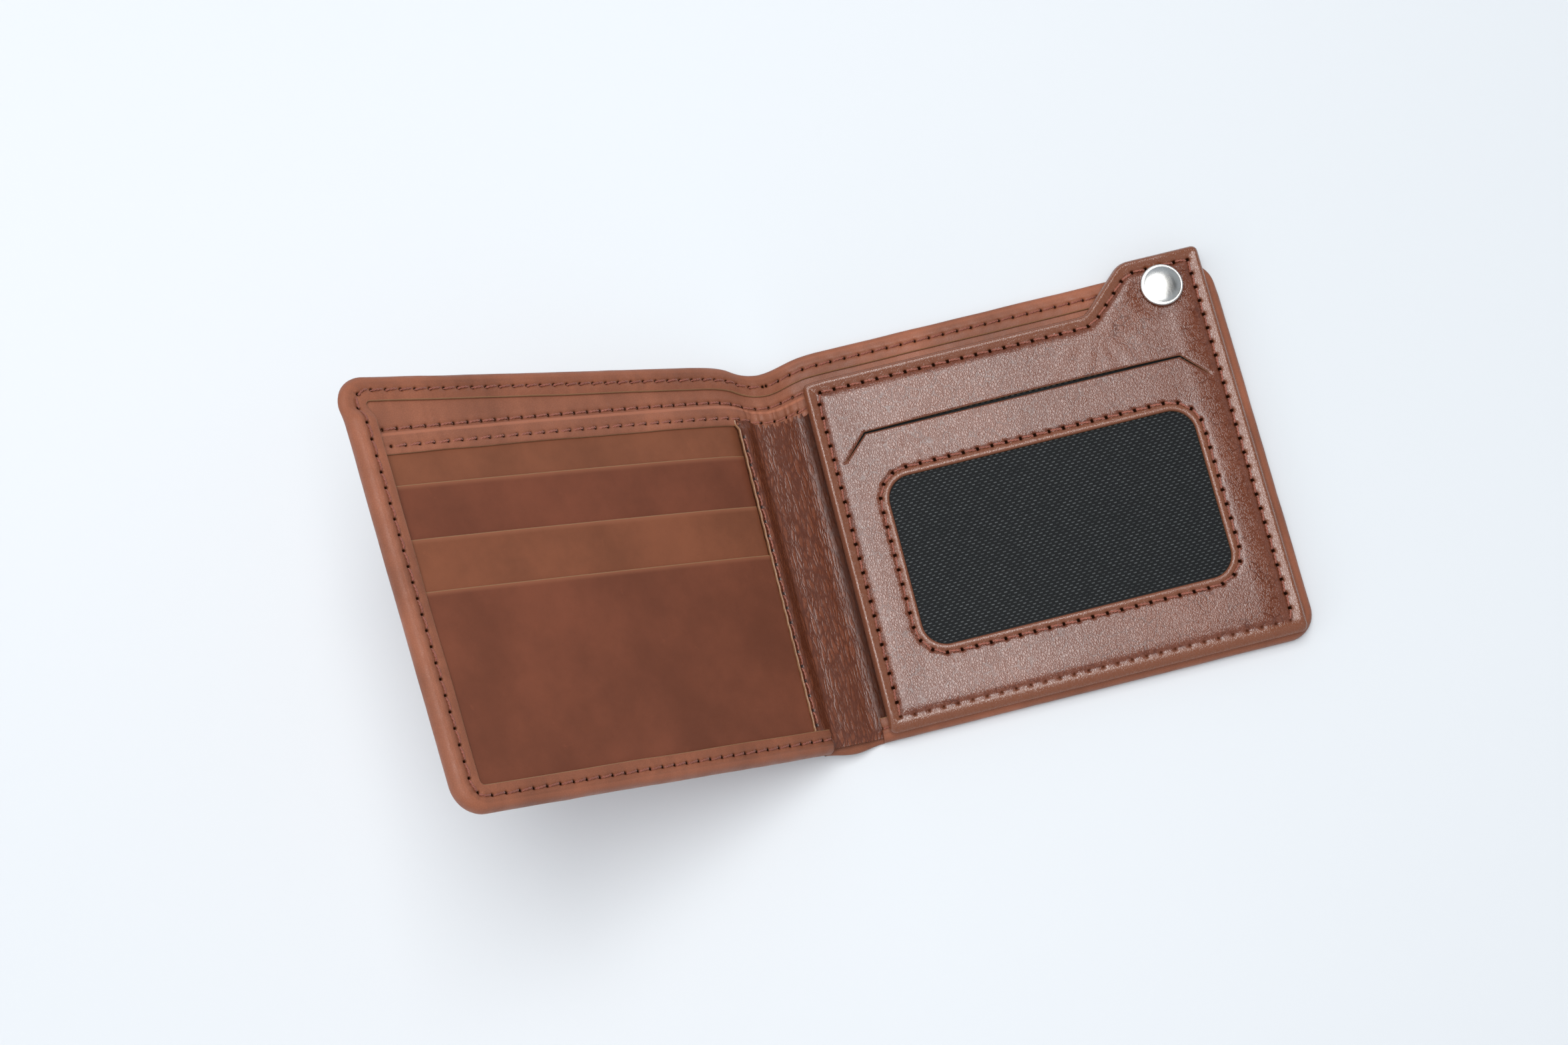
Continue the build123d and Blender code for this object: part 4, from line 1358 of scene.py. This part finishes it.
cover = cover_leather()
edging = cover_leather("edge_leather", (0.31, 0.11, 0.06), 0.44)
insert_skin = insert_leather()
pockets = [pocket_leather(f"pocket_leather_{i}", tone, i) for i, tone in enumerate(
    ((0.225, 0.076, 0.037), (0.185, 0.055, 0.028), (0.228, 0.075, 0.036), (0.190, 0.057, 0.029)))]
spine_skin = creased_leather()
rust_thread = thread_material("thread", (0.40, 0.125, 0.08))
hem_thread = thread_material("hem_thread", (0.34, 0.095, 0.058))
cloth_material = lining_cloth()
net = black_mesh()
polished_nickel = nickel("polished_nickel", 0.24, 0.30)
plain_nickel = nickel("snap_metal", 0.22, 0.34)

build_cover(1, cover, hem_thread)
build_cover(-1, cover, hem_thread)
build_linings(cloth_material, edging, rust_thread)
build_left_panel(pockets, cloth_material)
build_bindings(edging, rust_thread)
build_spine_leather(spine_skin, rust_thread)
build_right_panel(pockets, cloth_material)
build_insert(insert_skin, rust_thread, net, cloth_material)
build_snap(polished_nickel, plain_nickel, cover)


# ---------------------------------------------------------------- studio


def build_floor():
    """A plain pale tabletop that curves up to a backdrop far behind."""
    front, back, curve, wide, top = 1.6, 1.4, 0.5, 2.4, 2.0
    profile = [(-front, 0.0), (back, 0.0)]
    for a in np.linspace(0, math.pi / 2, 12):
        profile.append((back + curve * math.sin(a), curve * (1 - math.cos(a))))
    profile.append((back + curve, top))
    verts = [(x, y, z) for x in (-wide, wide) for y, z in profile]
    n = len(profile)
    faces = [(i, n + i, n + i + 1, i + 1) for i in range(n - 1)]
    mesh = bpy.data.meshes.new("floor")
    mesh.from_pydata(verts, [], faces)
    obj = bpy.data.objects.new("floor", mesh)
    bpy.context.scene.collection.objects.link(obj)
    s = Shader("floor_white")
    place = s.node("TexCoord").outputs["Object"]
    tone = s.noise(0.5, place, 2.0)
    colour = s.mix(s.range(tone, 0.3, 0.7), (0.80, 0.83, 0.86), (0.83, 0.855, 0.885))
    mesh.materials.append(s.finish(Base_Color=colour, Roughness=0.55, Specular_IOR_Level=0.3))


def build_lights():
    def area(name, place, size, power, colour, aim=(0, 0, 0.02), spin=0.0):
        data = bpy.data.lights.new(name, "AREA")
        data.shape = "RECTANGLE"
        data.size, data.size_y = size
        data.energy = power
        data.color = colour
        obj = bpy.data.objects.new(name, data)
        obj.location = place
        obj.rotation_mode = "QUATERNION"
        facing = (Vector(aim) - Vector(place)).to_track_quat("-Z", "Y")
        obj.rotation_quaternion = facing @ Quaternion((0, 0, 1), math.radians(spin))
        bpy.context.scene.collection.objects.link(obj)

    area("softbox", (-0.03, 0.2, 1.15), (0.66, 0.95), 9.8, (1.0, 0.995, 0.985), (-0.03, 0.2, 0.0), -10)
    area("key_left", (-1.05, 0.1, 1.15), (0.9, 1.4), 3.4, (1.0, 0.995, 0.985), (-0.6, 0.1, 0.0))
    area("fill_left", (-1.3, -0.5, 0.5), (1.2, 0.8), 2.2, (0.96, 0.98, 1.0))
    world = bpy.data.worlds.new("studio")
    world.use_nodes = True
    world.node_tree.nodes["Background"].inputs["Color"].default_value = (0.86, 0.93, 1.0, 1.0)
    # the studio is dark beyond the softbox's right edge
    tree = world.node_tree
    way = tree.nodes.new("ShaderNodeTexCoord").outputs["Generated"]
    dot = tree.nodes.new("ShaderNodeVectorMath")
    dot.operation = "DOT_PRODUCT"
    dot.inputs[1].default_value = tuple(Vector((0.40, 0.13, 0.90)).normalized())
    tree.links.new(way, dot.inputs[0])
    fade = tree.nodes.new("ShaderNodeMapRange")
    for key, value in (("From Min", 0.93), ("From Max", 0.98), ("To Min", 0.43), ("To Max", 0.04)):
        fade.inputs[key].default_value = value
    tree.links.new(dot.outputs["Value"], fade.inputs["Value"])
    tree.links.new(fade.outputs["Result"], tree.nodes["Background"].inputs["Strength"])
    bpy.context.scene.world = world


def build_camera():
    """Looks down at the open wallet from the viewer's side, a little from the left."""
    azimuth, elevation, roll = math.radians(-14.16), math.radians(79.28), math.radians(0.12)
    distance, focal_px, frame_w = 531.1, 3442.0, 2353.0
    target = np.array([-2.17, 55.23, 0.0])
    level, rise = math.cos(elevation), math.sin(elevation)
    back = np.array([math.sin(azimuth) * level, -math.cos(azimuth) * level, rise])
    place = (target + back * distance + origin) * MM
    data = bpy.data.cameras.new("camera")
    data.sensor_width = 36.0
    data.lens = focal_px / frame_w * data.sensor_width
    data.clip_start = 0.01
    obj = bpy.data.objects.new("camera", data)
    obj.location = place
    right = np.cross(-back, (0, 0, 1))
    right /= np.linalg.norm(right)
    up = np.cross(right, -back)
    c, s = math.cos(roll), math.sin(roll)
    across, upward = c * right + s * up, -s * right + c * up
    turn_to = Matrix((across, upward, back)).transposed()
    obj.rotation_mode = "QUATERNION"
    obj.rotation_quaternion = turn_to.to_quaternion()
    bpy.context.scene.collection.objects.link(obj)
    bpy.context.scene.camera = obj


build_floor()
build_lights()
build_camera()
bpy.context.scene.view_settings.view_transform = "Standard"
